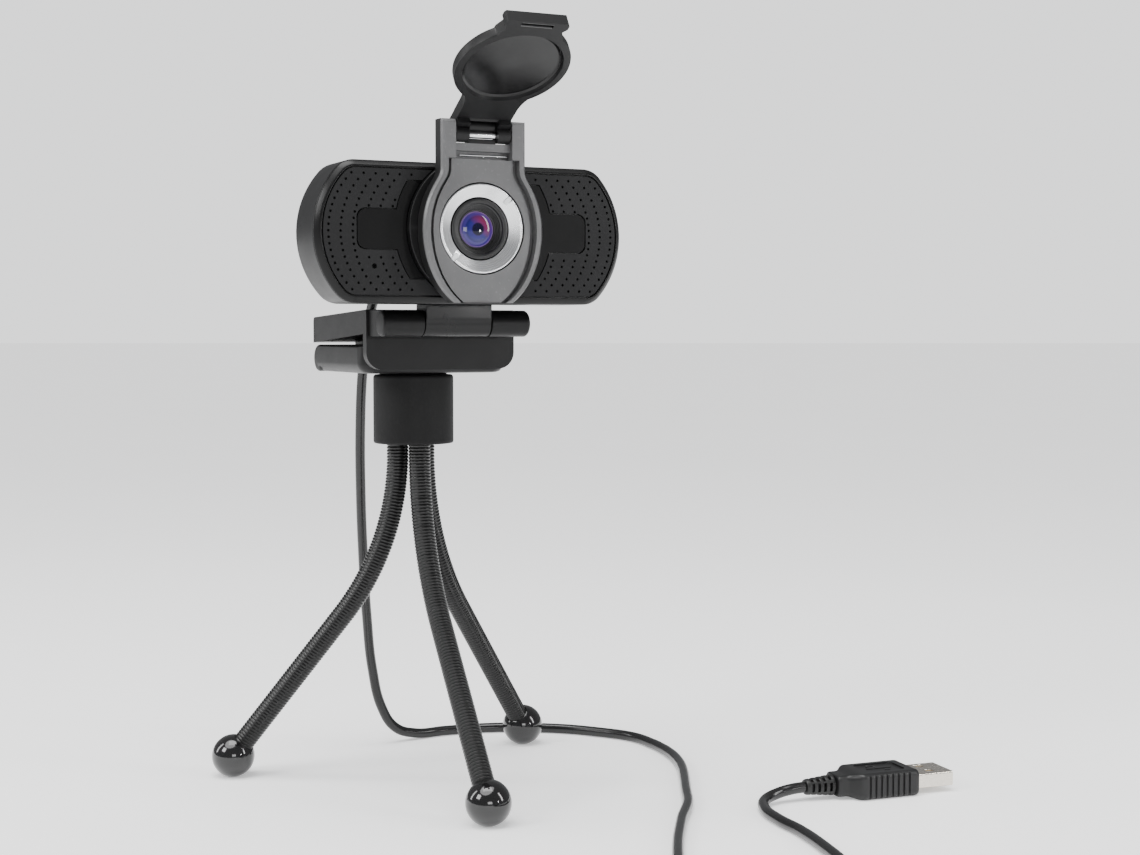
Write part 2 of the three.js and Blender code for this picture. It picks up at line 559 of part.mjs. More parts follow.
function neckPieces() {
  const neck = new THREE.Group();
  neck.position.set(0, FRONT_AXIS_Y, FRONT_AXIS_Z);
  clip.add(neck);
  addPiece(neck, 'neck_bracket', neckBracket(), SATIN_BLACK);
  const head = NECK_RISE + BODY_WALL + GAP;
  for (const [side, word] of [[-1, 'left'], [1, 'right']]) {
    const screw = turned([[0, 2.7], [SCREW_SHANK_RADIUS, 2.7], [SCREW_SHANK_RADIUS, head],
      [SCREW_HEAD_RADIUS, head], [SCREW_HEAD_RADIUS, head + 1.4], [0, head + 1.4]], 12);
    addPiece(neck, `neck_screw_${word}`, screw.translate(side * NECK_SCREW_X, 0, 0), STEEL);
  }
  const pinHalf = FRONT_BARREL_HALF - 1.5;
  addPiece(neck, 'front_hinge_pin', alongX(rod(CLIP_PIN_RADIUS, -pinHalf, pinHalf, 12)), STEEL);
}

function clipArm() {
  const half = CLIP_WIDTH / 2;
  const plate = slab([
    new THREE.Vector2(LIP_FRONT, ARM_TOP), new THREE.Vector2(ARM_REAR_END - 1.2, ARM_REAR_TOP),
    new THREE.Vector2(ARM_REAR_END, ARM_REAR_TOP - 1.2),
    new THREE.Vector2(ARM_REAR_END, ARM_REAR_TOP - ARM_REAR_THICKNESS),
    new THREE.Vector2(LIP_FRONT, ARM_TOP - ARM_FRONT_THICKNESS),
  ], -half, half, facingSide);
  const lip = slab(roundedRect(-half, half, LIP_BOTTOM, ARM_TOP, LIP_CORNER_RADIUS, 0.8),
    LIP_FRONT, LIP_FRONT + LIP_THICKNESS, facingFront);
  const earBlock = box(-FRONT_BARREL_HALF, FRONT_BARREL_HALF, FRONT_AXIS_Y, LIP_FRONT + 1,
    FRONT_AXIS_Z - FRONT_BARREL_RADIUS, FRONT_AXIS_Z + FRONT_BARREL_RADIUS);
  const barrel = alongX(rod(FRONT_BARREL_RADIUS, -FRONT_BARREL_HALF, FRONT_BARREL_HALF, 24))
    .translate(0, FRONT_AXIS_Y, FRONT_AXIS_Z);
  const notchHalf = NECK_WIDTH / 2 + GAP;
  const notch = box(-notchHalf, notchHalf, FRONT_AXIS_Y - 9, NOTCH_BACK, 5, 25);
  const pinHalf = FRONT_BARREL_HALF - 1.5 + GAP;
  const pinBore = alongX(rod(CLIP_PIN_RADIUS + PIN_PLAY, -pinHalf, pinHalf, 16))
    .translate(0, FRONT_AXIS_Y, FRONT_AXIS_Z);
  const knuckle = alongX(rod(REAR_BARREL_RADIUS, -REAR_KNUCKLE_HALF, REAR_KNUCKLE_HALF, 24))
    .translate(0, REAR_AXIS_Y, REAR_AXIS_Z);
  const web = box(-REAR_KNUCKLE_HALF, REAR_KNUCKLE_HALF, REAR_AXIS_Y - REAR_BARREL_RADIUS,
    ARM_REAR_END, REAR_AXIS_Z, ARM_REAR_TOP - 4);
  const rearBore = alongX(rod(CLIP_PIN_RADIUS + PIN_PLAY, -30, 30, 16))
    .translate(0, REAR_AXIS_Y, REAR_AXIS_Z);
  return cut(join(plate, lip, earBlock, barrel, knuckle, web), notch, pinBore, rearBore);
}

const footOutline = (inset) => roundedRect(
  inset - CLIP_WIDTH / 2, CLIP_WIDTH / 2 - inset,
  LIP_FRONT + LIP_THICKNESS + 0.5 + inset, REAR_AXIS_Y,
  FOOT_CORNER_RADIUS - Math.min(inset, 2), 0.4,
);

function clipFoot() {
  const top = FOOT_BOTTOM + FOOT_THICKNESS;
  const plate = loft([
    { level: FOOT_BOTTOM, outline: footOutline(FOOT_EDGE_INSET) },
    { level: FOOT_BOTTOM + 0.8, outline: footOutline(FOOT_EDGE_INSET / 3) },
    { level: FOOT_BOTTOM + 2.6, outline: footOutline(0) },
    { level: top, outline: footOutline(0) },
  ], facingUp);
  const half = CLIP_WIDTH / 2 - 0.3;
  const barrel = alongX(rod(REAR_BARREL_RADIUS, -half, half, 24)).translate(0, REAR_AXIS_Y, REAR_AXIS_Z);
  const notchHalf = REAR_KNUCKLE_HALF + GAP;
  const notch = box(-notchHalf, notchHalf, REAR_AXIS_Y - REAR_BARREL_RADIUS - 1, REAR_AXIS_Y + 9, -2, 20);
  const pinHalf = half - 1.2;
  const pinBore = alongX(rod(CLIP_PIN_RADIUS + PIN_PLAY, -pinHalf - GAP, pinHalf + GAP, 16))
    .translate(0, REAR_AXIS_Y, REAR_AXIS_Z);
  const padPocket = slab(padOutline(-GAP), top - PAD_THICKNESS, top + 2, facingUp);
  const insertBore = rod(INSERT_RADIUS + GAP, -1, top - PAD_THICKNESS - INSERT_COVER, 16);
  return cut(join(plate, barrel), notch, pinBore, padPocket, insertBore);
}

const INSERT_RADIUS = 4.4;
const INSERT_COVER = 0.9;            // plastic between the insert and the pad

const padOutline = (inset) => roundedRect(
  PAD_MARGIN + inset - CLIP_WIDTH / 2, CLIP_WIDTH / 2 - PAD_MARGIN - inset,
  LIP_FRONT + LIP_THICKNESS + 0.5 + PAD_MARGIN + inset, REAR_AXIS_Y - REAR_BARREL_RADIUS - 2 - inset,
  3 - Math.max(inset, 0), 1,
);

function clipPieces() {
  neckPieces();
  addPiece(clip, 'clip_arm', clipArm(), SATIN_BLACK);
  addPiece(clip, 'clip_foot', clipFoot(), SATIN_BLACK);
  const top = FOOT_BOTTOM + FOOT_THICKNESS;
  addPiece(clip, 'grip_pad', slab(padOutline(0), top - PAD_THICKNESS + GAP, top + GAP, facingUp), RUBBER);
  const pinHalf = CLIP_WIDTH / 2 - 1.5;
  const pin = alongX(rod(CLIP_PIN_RADIUS, -pinHalf, pinHalf, 12)).translate(0, REAR_AXIS_Y, REAR_AXIS_Z);
  addPiece(clip, 'rear_hinge_pin', pin, STEEL);
  const insertTop = top - PAD_THICKNESS - INSERT_COVER - GAP;
  const insert = turned(tubeProfile(STUD_RADIUS + GAP, INSERT_RADIUS, FOOT_BOTTOM, insertTop), 16);
  addPiece(clip, 'threaded_insert', insert, BRASS);
}

// ---------------------------------------------------------------- tripod
// hub frame: z from the top of the hub, downwards negative

const hub = new THREE.Group();
const HUB_CORE_RADIUS = HUB_RADIUS - SLEEVE_WALL - GAP;
const HEAD_TOP = -1.5;
const HEAD_BOTTOM = HEAD_TOP - STUD_HEAD_HEIGHT;
const BALL_DROP = Math.sqrt(BALL_RADIUS ** 2 - BALL_FLAT_RADIUS ** 2);
const LEG_AZIMUTHS = { front: -90, right: 30, left: 150 };

function hubCore() {
  const core = rod(HUB_CORE_RADIUS, -HUB_HEIGHT, HEAD_TOP, 24);
  const headPocket = rod(STUD_HEAD_RADIUS + GAP, HEAD_BOTTOM - GAP, 1, 6);
  const sockets = Object.values(LEG_AZIMUTHS).map((deg) => {
    const spot = arc(0, 0, LEG_START, deg, deg, 1)[0];
    const socket = rod(LEG_RADIUS + 0.4, -HUB_HEIGHT - 1, -HUB_HEIGHT + LEG_RADIUS + 0.5, 14);
    return socket.translate(spot.x, spot.y, 0);
  });
  return cut(core, headPocket, ...sockets);
}

function hubPieces() {
  addPiece(hub, 'hub_core', hubCore(), SATIN_BLACK);
  const inner = HUB_RADIUS - SLEEVE_WALL;
  const sleeve = turned([[inner, -HUB_HEIGHT], [HUB_RADIUS - 0.6, -HUB_HEIGHT],
    [HUB_RADIUS, -HUB_HEIGHT + 0.6],
    [HUB_RADIUS, -1.2], [HUB_RADIUS - 0.8, -0.4], [inner, -0.4], [inner, -HUB_HEIGHT]], 28);
  addPiece(hub, 'hub_sleeve', sleeve, SOFT_SLEEVE);
  const cap = turned(tubeProfile(STUD_RADIUS + GAP, HUB_CORE_RADIUS, HEAD_TOP + GAP, 0), 24);
  addPiece(hub, 'hub_cap', cap, SATIN_BLACK);
  const stud = join(rod(STUD_HEAD_RADIUS, HEAD_BOTTOM, HEAD_TOP, 6), turned([[0, HEAD_BOTTOM + 1],
    [STUD_RADIUS, HEAD_BOTTOM + 1], [STUD_RADIUS, STUD_REACH - 0.6], [STUD_RADIUS - 0.6, STUD_REACH],
    [0, STUD_REACH]], 16));
  addPiece(hub, 'tripod_stud', stud, STEEL);
}

// leg centre line in its own upright plane: straight out of the hub, an even bend, then straight down
function legCurve() {
  const slope = THREE.MathUtils.degToRad(LEG_SLOPE_DEG);
  const top = -HUB_HEIGHT;
  const foot = BALL_DROP - HUB_TOP;
  const run = LEG_SPREAD - LEG_START;
  const straightTop = 3;
  const fall = top - straightTop - foot;
  const gain = Math.sin(slope) * Math.tan(slope) - 1 + Math.cos(slope);
  const bendRadius = (fall * Math.tan(slope) - run) / gain;
  const points = [top, top - straightTop / 2].map((z) => new THREE.Vector3(LEG_START, 0, z));
  const bends = 9;
  for (let i = 0; i <= bends; i += 1) {
    const a = (slope * i) / bends;
    const x = LEG_START + bendRadius * (1 - Math.cos(a));
    points.push(new THREE.Vector3(x, 0, top - straightTop - bendRadius * Math.sin(a)));
  }
  const bent = points.at(-1).clone();
  const end = new THREE.Vector3(LEG_SPREAD, 0, foot);
  const near = end.clone().sub(bent).setLength(end.distanceTo(bent) - 1.5).add(bent);
  for (const share of [0.33, 0.67, 1]) points.push(bent.clone().lerp(near, share));
  return new THREE.CatmullRomCurve3(points, false, 'centripetal');
}

function discShape(radius, sides) {
  const points = [];
  for (let i = 0; i < sides; i += 1) {
    const a = (2 * Math.PI * i) / sides;
    points.push(new THREE.Vector2(radius * Math.cos(a), radius * Math.sin(a)));
  }
  return new THREE.Shape(points);
}

function legPieces() {
  const curve = legCurve();
  const end = new THREE.Vector3(LEG_SPREAD, 0, BALL_DROP - HUB_TOP);
  const aim = end.clone().sub(curve.getPoint(0.9)).normalize();
  const upright = new THREE.Quaternion().setFromUnitVectors(new THREE.Vector3(0, 0, 1), aim);
  for (const [word, deg] of Object.entries(LEG_AZIMUTHS)) {
    const leg = new THREE.Group();
    leg.rotation.z = THREE.MathUtils.degToRad(deg);
    hub.add(leg);
    const tube = new THREE.ExtrudeGeometry(discShape(LEG_RADIUS, 10), { extrudePath: curve, steps: 15 });
    const crown = new THREE.SphereGeometry(LEG_RADIUS - 0.02, 10, 6).translate(LEG_START, 0, -HUB_HEIGHT);
    addPiece(leg, `gooseneck_${word}`, join(tube, crown), RUBBER);
    const sphere = new THREE.SphereGeometry(BALL_RADIUS, 16, 10);
    const ball = sphere.rotateX(Math.PI / 2).translate(end.x, 0, end.z);
    const floor = box(end.x - 9, end.x + 9, -9, 9, -HUB_TOP - 5, -HUB_TOP);
    const socket = rod(LEG_RADIUS + GAP, -20, -1, 16).applyQuaternion(upright).translate(end.x, 0, end.z);
    addPiece(leg, `ball_foot_${word}`, cut(ball, floor, socket), INLAY_BLACK);
  }
}

// ---------------------------------------------------------------- lead
// stand frame: x and y from the tripod's axis, z from the floor

const cord = new THREE.Group();
const CORD_RADIUS = CORD_DIAMETER / 2;
const exitY = CAMERA_Y + BODY_DEPTH + GAP + GLAND_LENGTH;
const exitZ = HUB_TOP + CAMERA_Z - GLAND_DROP;
const COIL_BASE = TIE_THICKNESS + GAP;
const COIL_HALF = (COIL_RADIAL_TURNS * CORD_DIAMETER) / 2;
const COIL_HEIGHT = COIL_LAYERS * CORD_DIAMETER;
const COIL_CENTRE = [24.7, -178.4];
const PLUG_BASE = [95.3, -74.9];
const PLUG_HEADING_DEG = -6;

// chosen by hand: out of the body, down behind the clip, round the stand to the coil; the heights of
// the hanging stretch are shares of the exit's height
const RUN_ROUTE = [
  [0, exitY + GAP, exitZ], [0, exitY + 9, exitZ], [0, exitY + 18.7, 0.9966 * exitZ],
  [-0.5, exitY + 28.7, 0.979 * exitZ], [-1, exitY + 37.7, 0.936 * exitZ], [-1.5, 37.5, 0.868 * exitZ],
  [-2, 41.5, 0.776 * exitZ], [-2, 44, 0.665 * exitZ], [-1.5, 45.5, 0.542 * exitZ],
  [-0.5, 46.5, 0.406 * exitZ], [1, 47.2, 0.271 * exitZ], [3, 47.6, 0.16 * exitZ],
  [6.5, 48.2, 0.077 * exitZ], [11.5, 49, 5.2],
  [19, 50.2, 2.2], [31, 51.2, CORD_RADIUS], [45, 49, CORD_RADIUS], [60, 42, CORD_RADIUS],
  [76, 27.8, CORD_RADIUS], [86, 8, CORD_RADIUS], [62.9, -61.3, CORD_RADIUS],
  [48.4, -83.2, CORD_RADIUS], [34.7, -105.4, CORD_RADIUS], [22.6, -128.4, CORD_RADIUS],
  [12, -150, 2.2], [3.2, -167.9, COIL_BASE + CORD_RADIUS],
];
// chosen by hand: off the coil and back to the plug
const TAIL_ROUTE = [
  [46.3, -188.9, COIL_BASE + COIL_HEIGHT - CORD_RADIUS], [52.4, -176.3, 5], [58.6, -162.7, 2.4],
  [64.7, -144.5, CORD_RADIUS], [69.8, -124.8, CORD_RADIUS], [73.2, -106.4, CORD_RADIUS],
  [74, -93.4, CORD_RADIUS], [76.6, -82.4, CORD_RADIUS], [80.7, -76.1, 2.1], [86.7, -74.2, 3.1],
  [91, -74.5, 3.8], [95, -74.8, PLUG_BODY_HEIGHT / 2],
];

function cordTube(route, steps) {
  const curve = new THREE.CatmullRomCurve3(route.map((p) => new THREE.Vector3(...p)), false, 'centripetal');
  return new THREE.ExtrudeGeometry(discShape(CORD_RADIUS, CORD_SIDES), { extrudePath: curve, steps });
}

function coilSection(grow) {
  const low = COIL_BASE - grow;
  const high = COIL_BASE + COIL_HEIGHT + grow;
  const inner = COIL_TURN_RADIUS - COIL_HALF - grow;
  const outer = COIL_TURN_RADIUS + COIL_HALF + grow;
  const edge = 1;
  return [[inner, low + edge], [inner + edge, low], [outer - edge, low], [outer, low + edge],
    [outer, high - edge], [outer - edge, high], [inner + edge, high], [inner, high - edge],
    [inner, low + edge]];
}

function coilPieces() {
  addPiece(cord, 'cable_coil', turned(coilSection(0), 28).translate(...COIL_CENTRE, 0), SATIN_BLACK);
  const band = cut(turned(coilSection(GAP + TIE_THICKNESS), 48), turned(coilSection(GAP), 48));
  const slice = box(0, 40, -TIE_WIDTH / 2, TIE_WIDTH / 2, -5, 30);
  const tie = common(band, slice.rotateZ(THREE.MathUtils.degToRad(TIE_ANGLE_DEG)));
  addPiece(cord, 'coil_tie', tie.translate([...COIL_CENTRE, 0]), SOFT_SLEEVE);
}

// plug frame: x from the lead's end of the strain relief towards the tip, z from the middle of the plug
function plugBody(start) {
  const end = start + PLUG_BODY_LENGTH;
  const section = (x, width, height) => ({ level: x, outline: roundedRect(-width / 2, width / 2,
    -height / 2, height / 2, 1.4) });
  return loft([
    section(start, PLUG_NOSE_WIDTH, PLUG_NOSE_HEIGHT), section(start + 3, PLUG_NOSE_WIDTH, PLUG_NOSE_HEIGHT),
    section(start + 6.5, PLUG_BODY_WIDTH, PLUG_BODY_HEIGHT),
    section(end - 0.6, PLUG_BODY_WIDTH, PLUG_BODY_HEIGHT),
    section(end, PLUG_BODY_WIDTH - 1, PLUG_BODY_HEIGHT - 1),
  ], facingSide);
}

function plugPieces() {
  const plug = new THREE.Group();
  plug.position.set(...PLUG_BASE, PLUG_BODY_HEIGHT / 2);
  plug.rotation.z = THREE.MathUtils.degToRad(PLUG_HEADING_DEG);
  cord.add(plug);
  const relief = turned([[0, 0], [2.3, 0], [3.2, PLUG_RELIEF_LENGTH], [0, PLUG_RELIEF_LENGTH]], 16);
  addPiece(plug, 'plug_relief', alongX(relief), RUBBER);
  const bodyStart = PLUG_RELIEF_LENGTH + GAP;
  addPiece(plug, 'plug_body', plugBody(bodyStart), SATIN_BLACK);
  const shellStart = bodyStart + PLUG_BODY_LENGTH + GAP;
  const tip = shellStart + PLUG_SHELL_LENGTH;
  const wide = PLUG_SHELL_WIDTH / 2;
  const high = PLUG_SHELL_HEIGHT / 2;
  const inside = PLUG_SHELL_WALL;
  const hollow = box(shellStart - 1, tip + 1, -wide + inside, wide - inside, -high + inside, high - inside);
  const windows = [-1, 1].map((side) => box(shellStart + 4.6, shellStart + 6.9, side * 2.9 - 1.2,
    side * 2.9 + 1.2, -5, 5));
  const shell = cut(box(shellStart, tip, -wide, wide, -high, high), hollow, ...windows);
  addPiece(plug, 'plug_shell', shell, STEEL);
  const tongueLow = -high + inside + GAP;
  addPiece(plug, 'plug_tongue', box(shellStart, tip - 0.6, -wide + inside + GAP, wide - inside - GAP,
    tongueLow, tongueLow + PLUG_TONGUE_HEIGHT), CLEAR_PLASTIC);
}

function cordPieces() {
  const coilRoom = () => turned(coilSection(GAP), 28).translate(...COIL_CENTRE, 0);
  addPiece(cord, 'cable_run', cut(cordTube(RUN_ROUTE, 54), coilRoom()), SATIN_BLACK);
  addPiece(cord, 'cable_tail', cut(cordTube(TAIL_ROUTE, 18), coilRoom()), SATIN_BLACK);
  coilPieces();
  plugPieces();
}

const stand = new THREE.Group();
hub.position.z = HUB_TOP;
clip.position.z = HUB_TOP;
camera.position.set(0, CAMERA_Y, CAMERA_Z);
clip.add(camera);
stand.add(hub, clip);

bodyPieces();
lensPieces();
electronics();
addPiece(camera, 'cable_gland', gland(), RUBBER);
framePieces();
clipPieces();
hubPieces();
legPieces();
cordPieces();

// the origin is the bottom centre of the stand's own box, without the lead
const extent = new THREE.Box3().setFromObject(stand, true);
const middle = extent.getCenter(new THREE.Vector3());
const group = new THREE.Group();
group.add(stand, cord);
group.children.forEach((part) => part.position.set(-middle.x, -middle.y, -extent.min.z));

export default group;
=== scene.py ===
# Looks of the webcam on its mini gooseneck tripod. Shapes are worked in millimetres in the part's own
# frame (+Z up, the lens looks along -Y) and turned into metres when a mesh is made.
import math

import bmesh
import bpy
from mathutils import Matrix, Vector


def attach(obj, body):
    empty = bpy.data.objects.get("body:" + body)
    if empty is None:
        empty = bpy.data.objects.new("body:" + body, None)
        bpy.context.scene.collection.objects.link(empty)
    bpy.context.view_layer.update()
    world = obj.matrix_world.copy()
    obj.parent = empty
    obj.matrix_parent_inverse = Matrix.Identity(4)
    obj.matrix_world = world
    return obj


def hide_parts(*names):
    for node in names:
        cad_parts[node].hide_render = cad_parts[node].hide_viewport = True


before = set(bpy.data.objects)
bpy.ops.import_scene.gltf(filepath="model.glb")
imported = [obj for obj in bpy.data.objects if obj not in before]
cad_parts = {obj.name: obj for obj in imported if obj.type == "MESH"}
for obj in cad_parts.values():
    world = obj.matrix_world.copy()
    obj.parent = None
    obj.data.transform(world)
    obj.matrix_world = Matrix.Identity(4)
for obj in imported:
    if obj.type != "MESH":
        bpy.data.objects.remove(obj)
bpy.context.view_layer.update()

MM = 0.001
GAP = 0.3
GLASS_RADIUS = 5.35
VIEW_DEG = 26.0

FACE_Y = -20.6
BODY_HEIGHT = 167.35
LENS_RISE = 1.25
LENS_SPOT = (0, FACE_Y, BODY_HEIGHT + LENS_RISE)
STAND_Y = 28.4
CLIP_TOP = 127
LID_OPEN_DEG = -120


def moved(x, y, z):
    return Matrix.Translation((x, y, z))


def rotated(degrees, axis):
    return Matrix.Rotation(math.radians(degrees), 4, axis)


# camera frame: middle of the body's face; lens frame: on the lens axis; clip frame: tripod screw's top
CAMERA = moved(0, FACE_Y, BODY_HEIGHT)
LENS = Matrix.Translation(LENS_SPOT)
CLIP = moved(0, STAND_Y, CLIP_TOP)
FLOOR = moved(0, STAND_Y, 0)
LID_PIN = moved(0, -25.5, 194.6)
LID = LID_PIN @ rotated(LID_OPEN_DEG, "X")


# ---- camera

def placed(name, data):
    made = bpy.data.objects.new(name, data)
    bpy.context.scene.collection.objects.link(made)
    return made


def view_point(right, toward, height):
    """A spot to the right of the middle of the view, towards the eye, and up, as metres."""
    c, s = math.cos(math.radians(VIEW_DEG)), math.sin(math.radians(VIEW_DEG))
    return Vector((c * right - s * toward, -s * right - c * toward, height)) * MM


EYE_DISTANCE = 520
EYE_RIGHT = 36
EYE_HEIGHT = 140
AIM_HEIGHT = 111.5
SEEN_WIDTH = 336
SENSOR_WIDTH = 36
eye = view_point(EYE_RIGHT, EYE_DISTANCE, EYE_HEIGHT)
aim = view_point(EYE_RIGHT, 0, AIM_HEIGHT)
camera_data = bpy.data.cameras.new("camera")
camera_data.sensor_width = SENSOR_WIDTH
camera_data.lens = SENSOR_WIDTH * EYE_DISTANCE / SEEN_WIDTH
camera_data.clip_start = 0.01
camera_data.clip_end = 20
camera = placed("camera", camera_data)
camera.location = eye
camera.rotation_euler = (aim - eye).to_track_quat("-Z", "Y").to_euler()
bpy.context.scene.camera = camera


# ---- materials

def new_material(name):
    material = bpy.data.materials.new(name)
    material.use_nodes = True
    tree = material.node_tree
    shader = tree.nodes["Principled BSDF"]
    return material, tree, shader


def node(tree, kind, **settings):
    made = tree.nodes.new(kind)
    for key, value in settings.items():
        if key in made.inputs:
            made.inputs[key].default_value = value
        else:
            setattr(made, key, value)
    return made


def put(holder, values):
    for name, value in values.items():
        holder.inputs[name].default_value = value


def place(tree, centre=(0, 0, 0)):
    """Object coordinates measured from a point given in millimetres."""
    where = node(tree, "ShaderNodeTexCoord")
    shift = node(tree, "ShaderNodeVectorMath", operation="SUBTRACT")
    shift.inputs[1].default_value = [c * MM for c in centre]
    tree.links.new(where.outputs["Object"], shift.inputs[0])
    return shift.outputs[0]


def noise(tree, vector, scale, detail=3.0, rough=0.55):
    made = node(tree, "ShaderNodeTexNoise", Scale=scale, Detail=detail, Roughness=rough)
    tree.links.new(vector, made.inputs["Vector"])
    return made.outputs["Fac"]


def remap(tree, value, low, high, to_low, to_high):
    made = node(tree, "ShaderNodeMapRange")
    tree.links.new(value, made.inputs["Value"])
    for key, number in (("From Min", low), ("From Max", high), ("To Min", to_low), ("To Max", to_high)):
        made.inputs[key].default_value = number
    return made.outputs["Result"]


def math_node(tree, operation, a, b):
    made = node(tree, "ShaderNodeMath", operation=operation)
    for socket, value in zip(made.inputs, (a, b)):
        if isinstance(value, (int, float)):
            socket.default_value = value
        else:
            tree.links.new(value, socket)
    return made.outputs[0]


def ramp(tree, value, stops):
    made = node(tree, "ShaderNodeValToRGB")
    elements = made.color_ramp.elements
    while len(elements) < len(stops):
        elements.new(0.5)
    for element, (position, colour) in zip(elements, stops):
        element.position = position
        element.color = (*colour, 1)
    tree.links.new(value, made.inputs["Fac"])
    return made.outputs["Color"]


def mix_colour(tree, factor, a, b):
    made = node(tree, "ShaderNodeMix", data_type="RGBA")
    tree.links.new(factor, made.inputs["Factor"])
    for socket, value in ((made.inputs[6], a), (made.inputs[7], b)):
        if isinstance(value, tuple):
            socket.default_value = (*value, 1)
        else:
            tree.links.new(value, socket)
    return made.outputs[2]


def bump(tree, shader, height, strength, distance):
    made = node(tree, "ShaderNodeBump", Strength=strength, Distance=distance * MM)
    tree.links.new(height, made.inputs["Height"])
    tree.links.new(made.outputs["Normal"], shader.inputs["Normal"])


def moulded(name, colour, roughness, grain=0.35, grain_size=0.35, edge_wear_and_highlight_tone=1.6, metal=0.0, coat=0.0, gloss=0.35,
            edge_wear_and_highlight=0.5):
    """Moulded or coated surface: mottled colour, uneven gloss, spark grain, and sharp edges lightened
    partly as rubbed wear and partly as a painted highlight.
    """
    material, tree, shader = new_material(name)
    where = place(tree)
    broad = noise(tree, where, 70, 4)
    fine = noise(tree, where, 1000 / grain_size, 2, 0.6)
    speck = noise(tree, where, 420 / grain_size, 1)
    darker = tuple(c * 0.9 for c in colour)
    lighter = tuple(min(1, c * 1.1) for c in colour)
    base = ramp(tree, broad, [(0.32, darker), (0.68, lighter)])
    flecked = mix_colour(tree, remap(tree, speck, 0.6, 0.75, 0, 0.3), base,
                         tuple(min(1, c * 1.7) for c in colour))
    # sharp edges get a lighter colour: partly rubbed wear, partly a painted highlight
    edge = node(tree, "ShaderNodeNewGeometry")
    edge_wear_and_highlight_mask = remap(tree, edge.outputs["Pointiness"], 0.52, 0.62, 0, edge_wear_and_highlight)
    tree.links.new(mix_colour(tree, edge_wear_and_highlight_mask, flecked, tuple(min(1, c * edge_wear_and_highlight_tone + 0.01) for c in colour)),
                   shader.inputs["Base Color"])
    tree.links.new(remap(tree, noise(tree, where, 160, 5), 0.3, 0.7, max(0.04, roughness - 0.03),
                         roughness + 0.03),
                   shader.inputs["Roughness"])
    put(shader, {"Metallic": metal, "Coat Weight": coat, "Coat Roughness": 0.12,
                 "Specular IOR Level": gloss})
    bump(tree, shader, fine, grain, 0.03 * grain_size / 0.35)
    return material


def radial(tree, centre):
    """Distance from a line along Y through the centre, in millimetres."""
    parts = node(tree, "ShaderNodeSeparateXYZ")
    tree.links.new(place(tree, centre), parts.inputs[0])
    flat = node(tree, "ShaderNodeCombineXYZ")
    tree.links.new(parts.outputs["X"], flat.inputs["X"])
    tree.links.new(parts.outputs["Z"], flat.inputs["Y"])
    length = node(tree, "ShaderNodeVectorMath", operation="LENGTH")
    tree.links.new(flat.outputs[0], length.inputs[0])
    return math_node(tree, "MULTIPLY", length.outputs["Value"], 1000), parts


def ringed(name, colour, roughness):
    """Turned metal with fine lines round the lens axis."""
    material, tree, shader = new_material(name)
    reach = radial(tree, LENS_SPOT)[0]
    along = node(tree, "ShaderNodeCombineXYZ")
    tree.links.new(reach, along.inputs["X"])
    lines = noise(tree, along.outputs[0], 9, 4, 0.7)
    tree.links.new(ramp(tree, lines, [(0.3, tuple(c * 0.82 for c in colour)), (0.7, colour)]),
                   shader.inputs["Base Color"])
    tree.links.new(remap(tree, lines, 0.3, 0.7, roughness - 0.06, roughness + 0.1),
                   shader.inputs["Roughness"])
    shader.inputs["Metallic"].default_value = 1.0
    bump(tree, shader, lines, 0.25, 0.03)
    return material


def brushed(name, colour, roughness, stretch):
    """Metal with drawing lines: noise squeezed along one direction."""
    material, tree, shader = new_material(name)
    squeeze = node(tree, "ShaderNodeVectorMath", operation="MULTIPLY")
    tree.links.new(place(tree), squeeze.inputs[0])
    squeeze.inputs[1].default_value = stretch
    lines = noise(tree, squeeze.outputs[0], 2600, 3, 0.6)
    tree.links.new(ramp(tree, lines, [(0.3, tuple(c * 0.85 for c in colour)), (0.7, colour)]),
                   shader.inputs["Base Color"])
    tree.links.new(remap(tree, lines, 0.3, 0.7, max(0.03, roughness - 0.05), roughness + 0.08),
                   shader.inputs["Roughness"])
    shader.inputs["Metallic"].default_value = 1.0
    bump(tree, shader, lines, 0.12, 0.01)
    return material


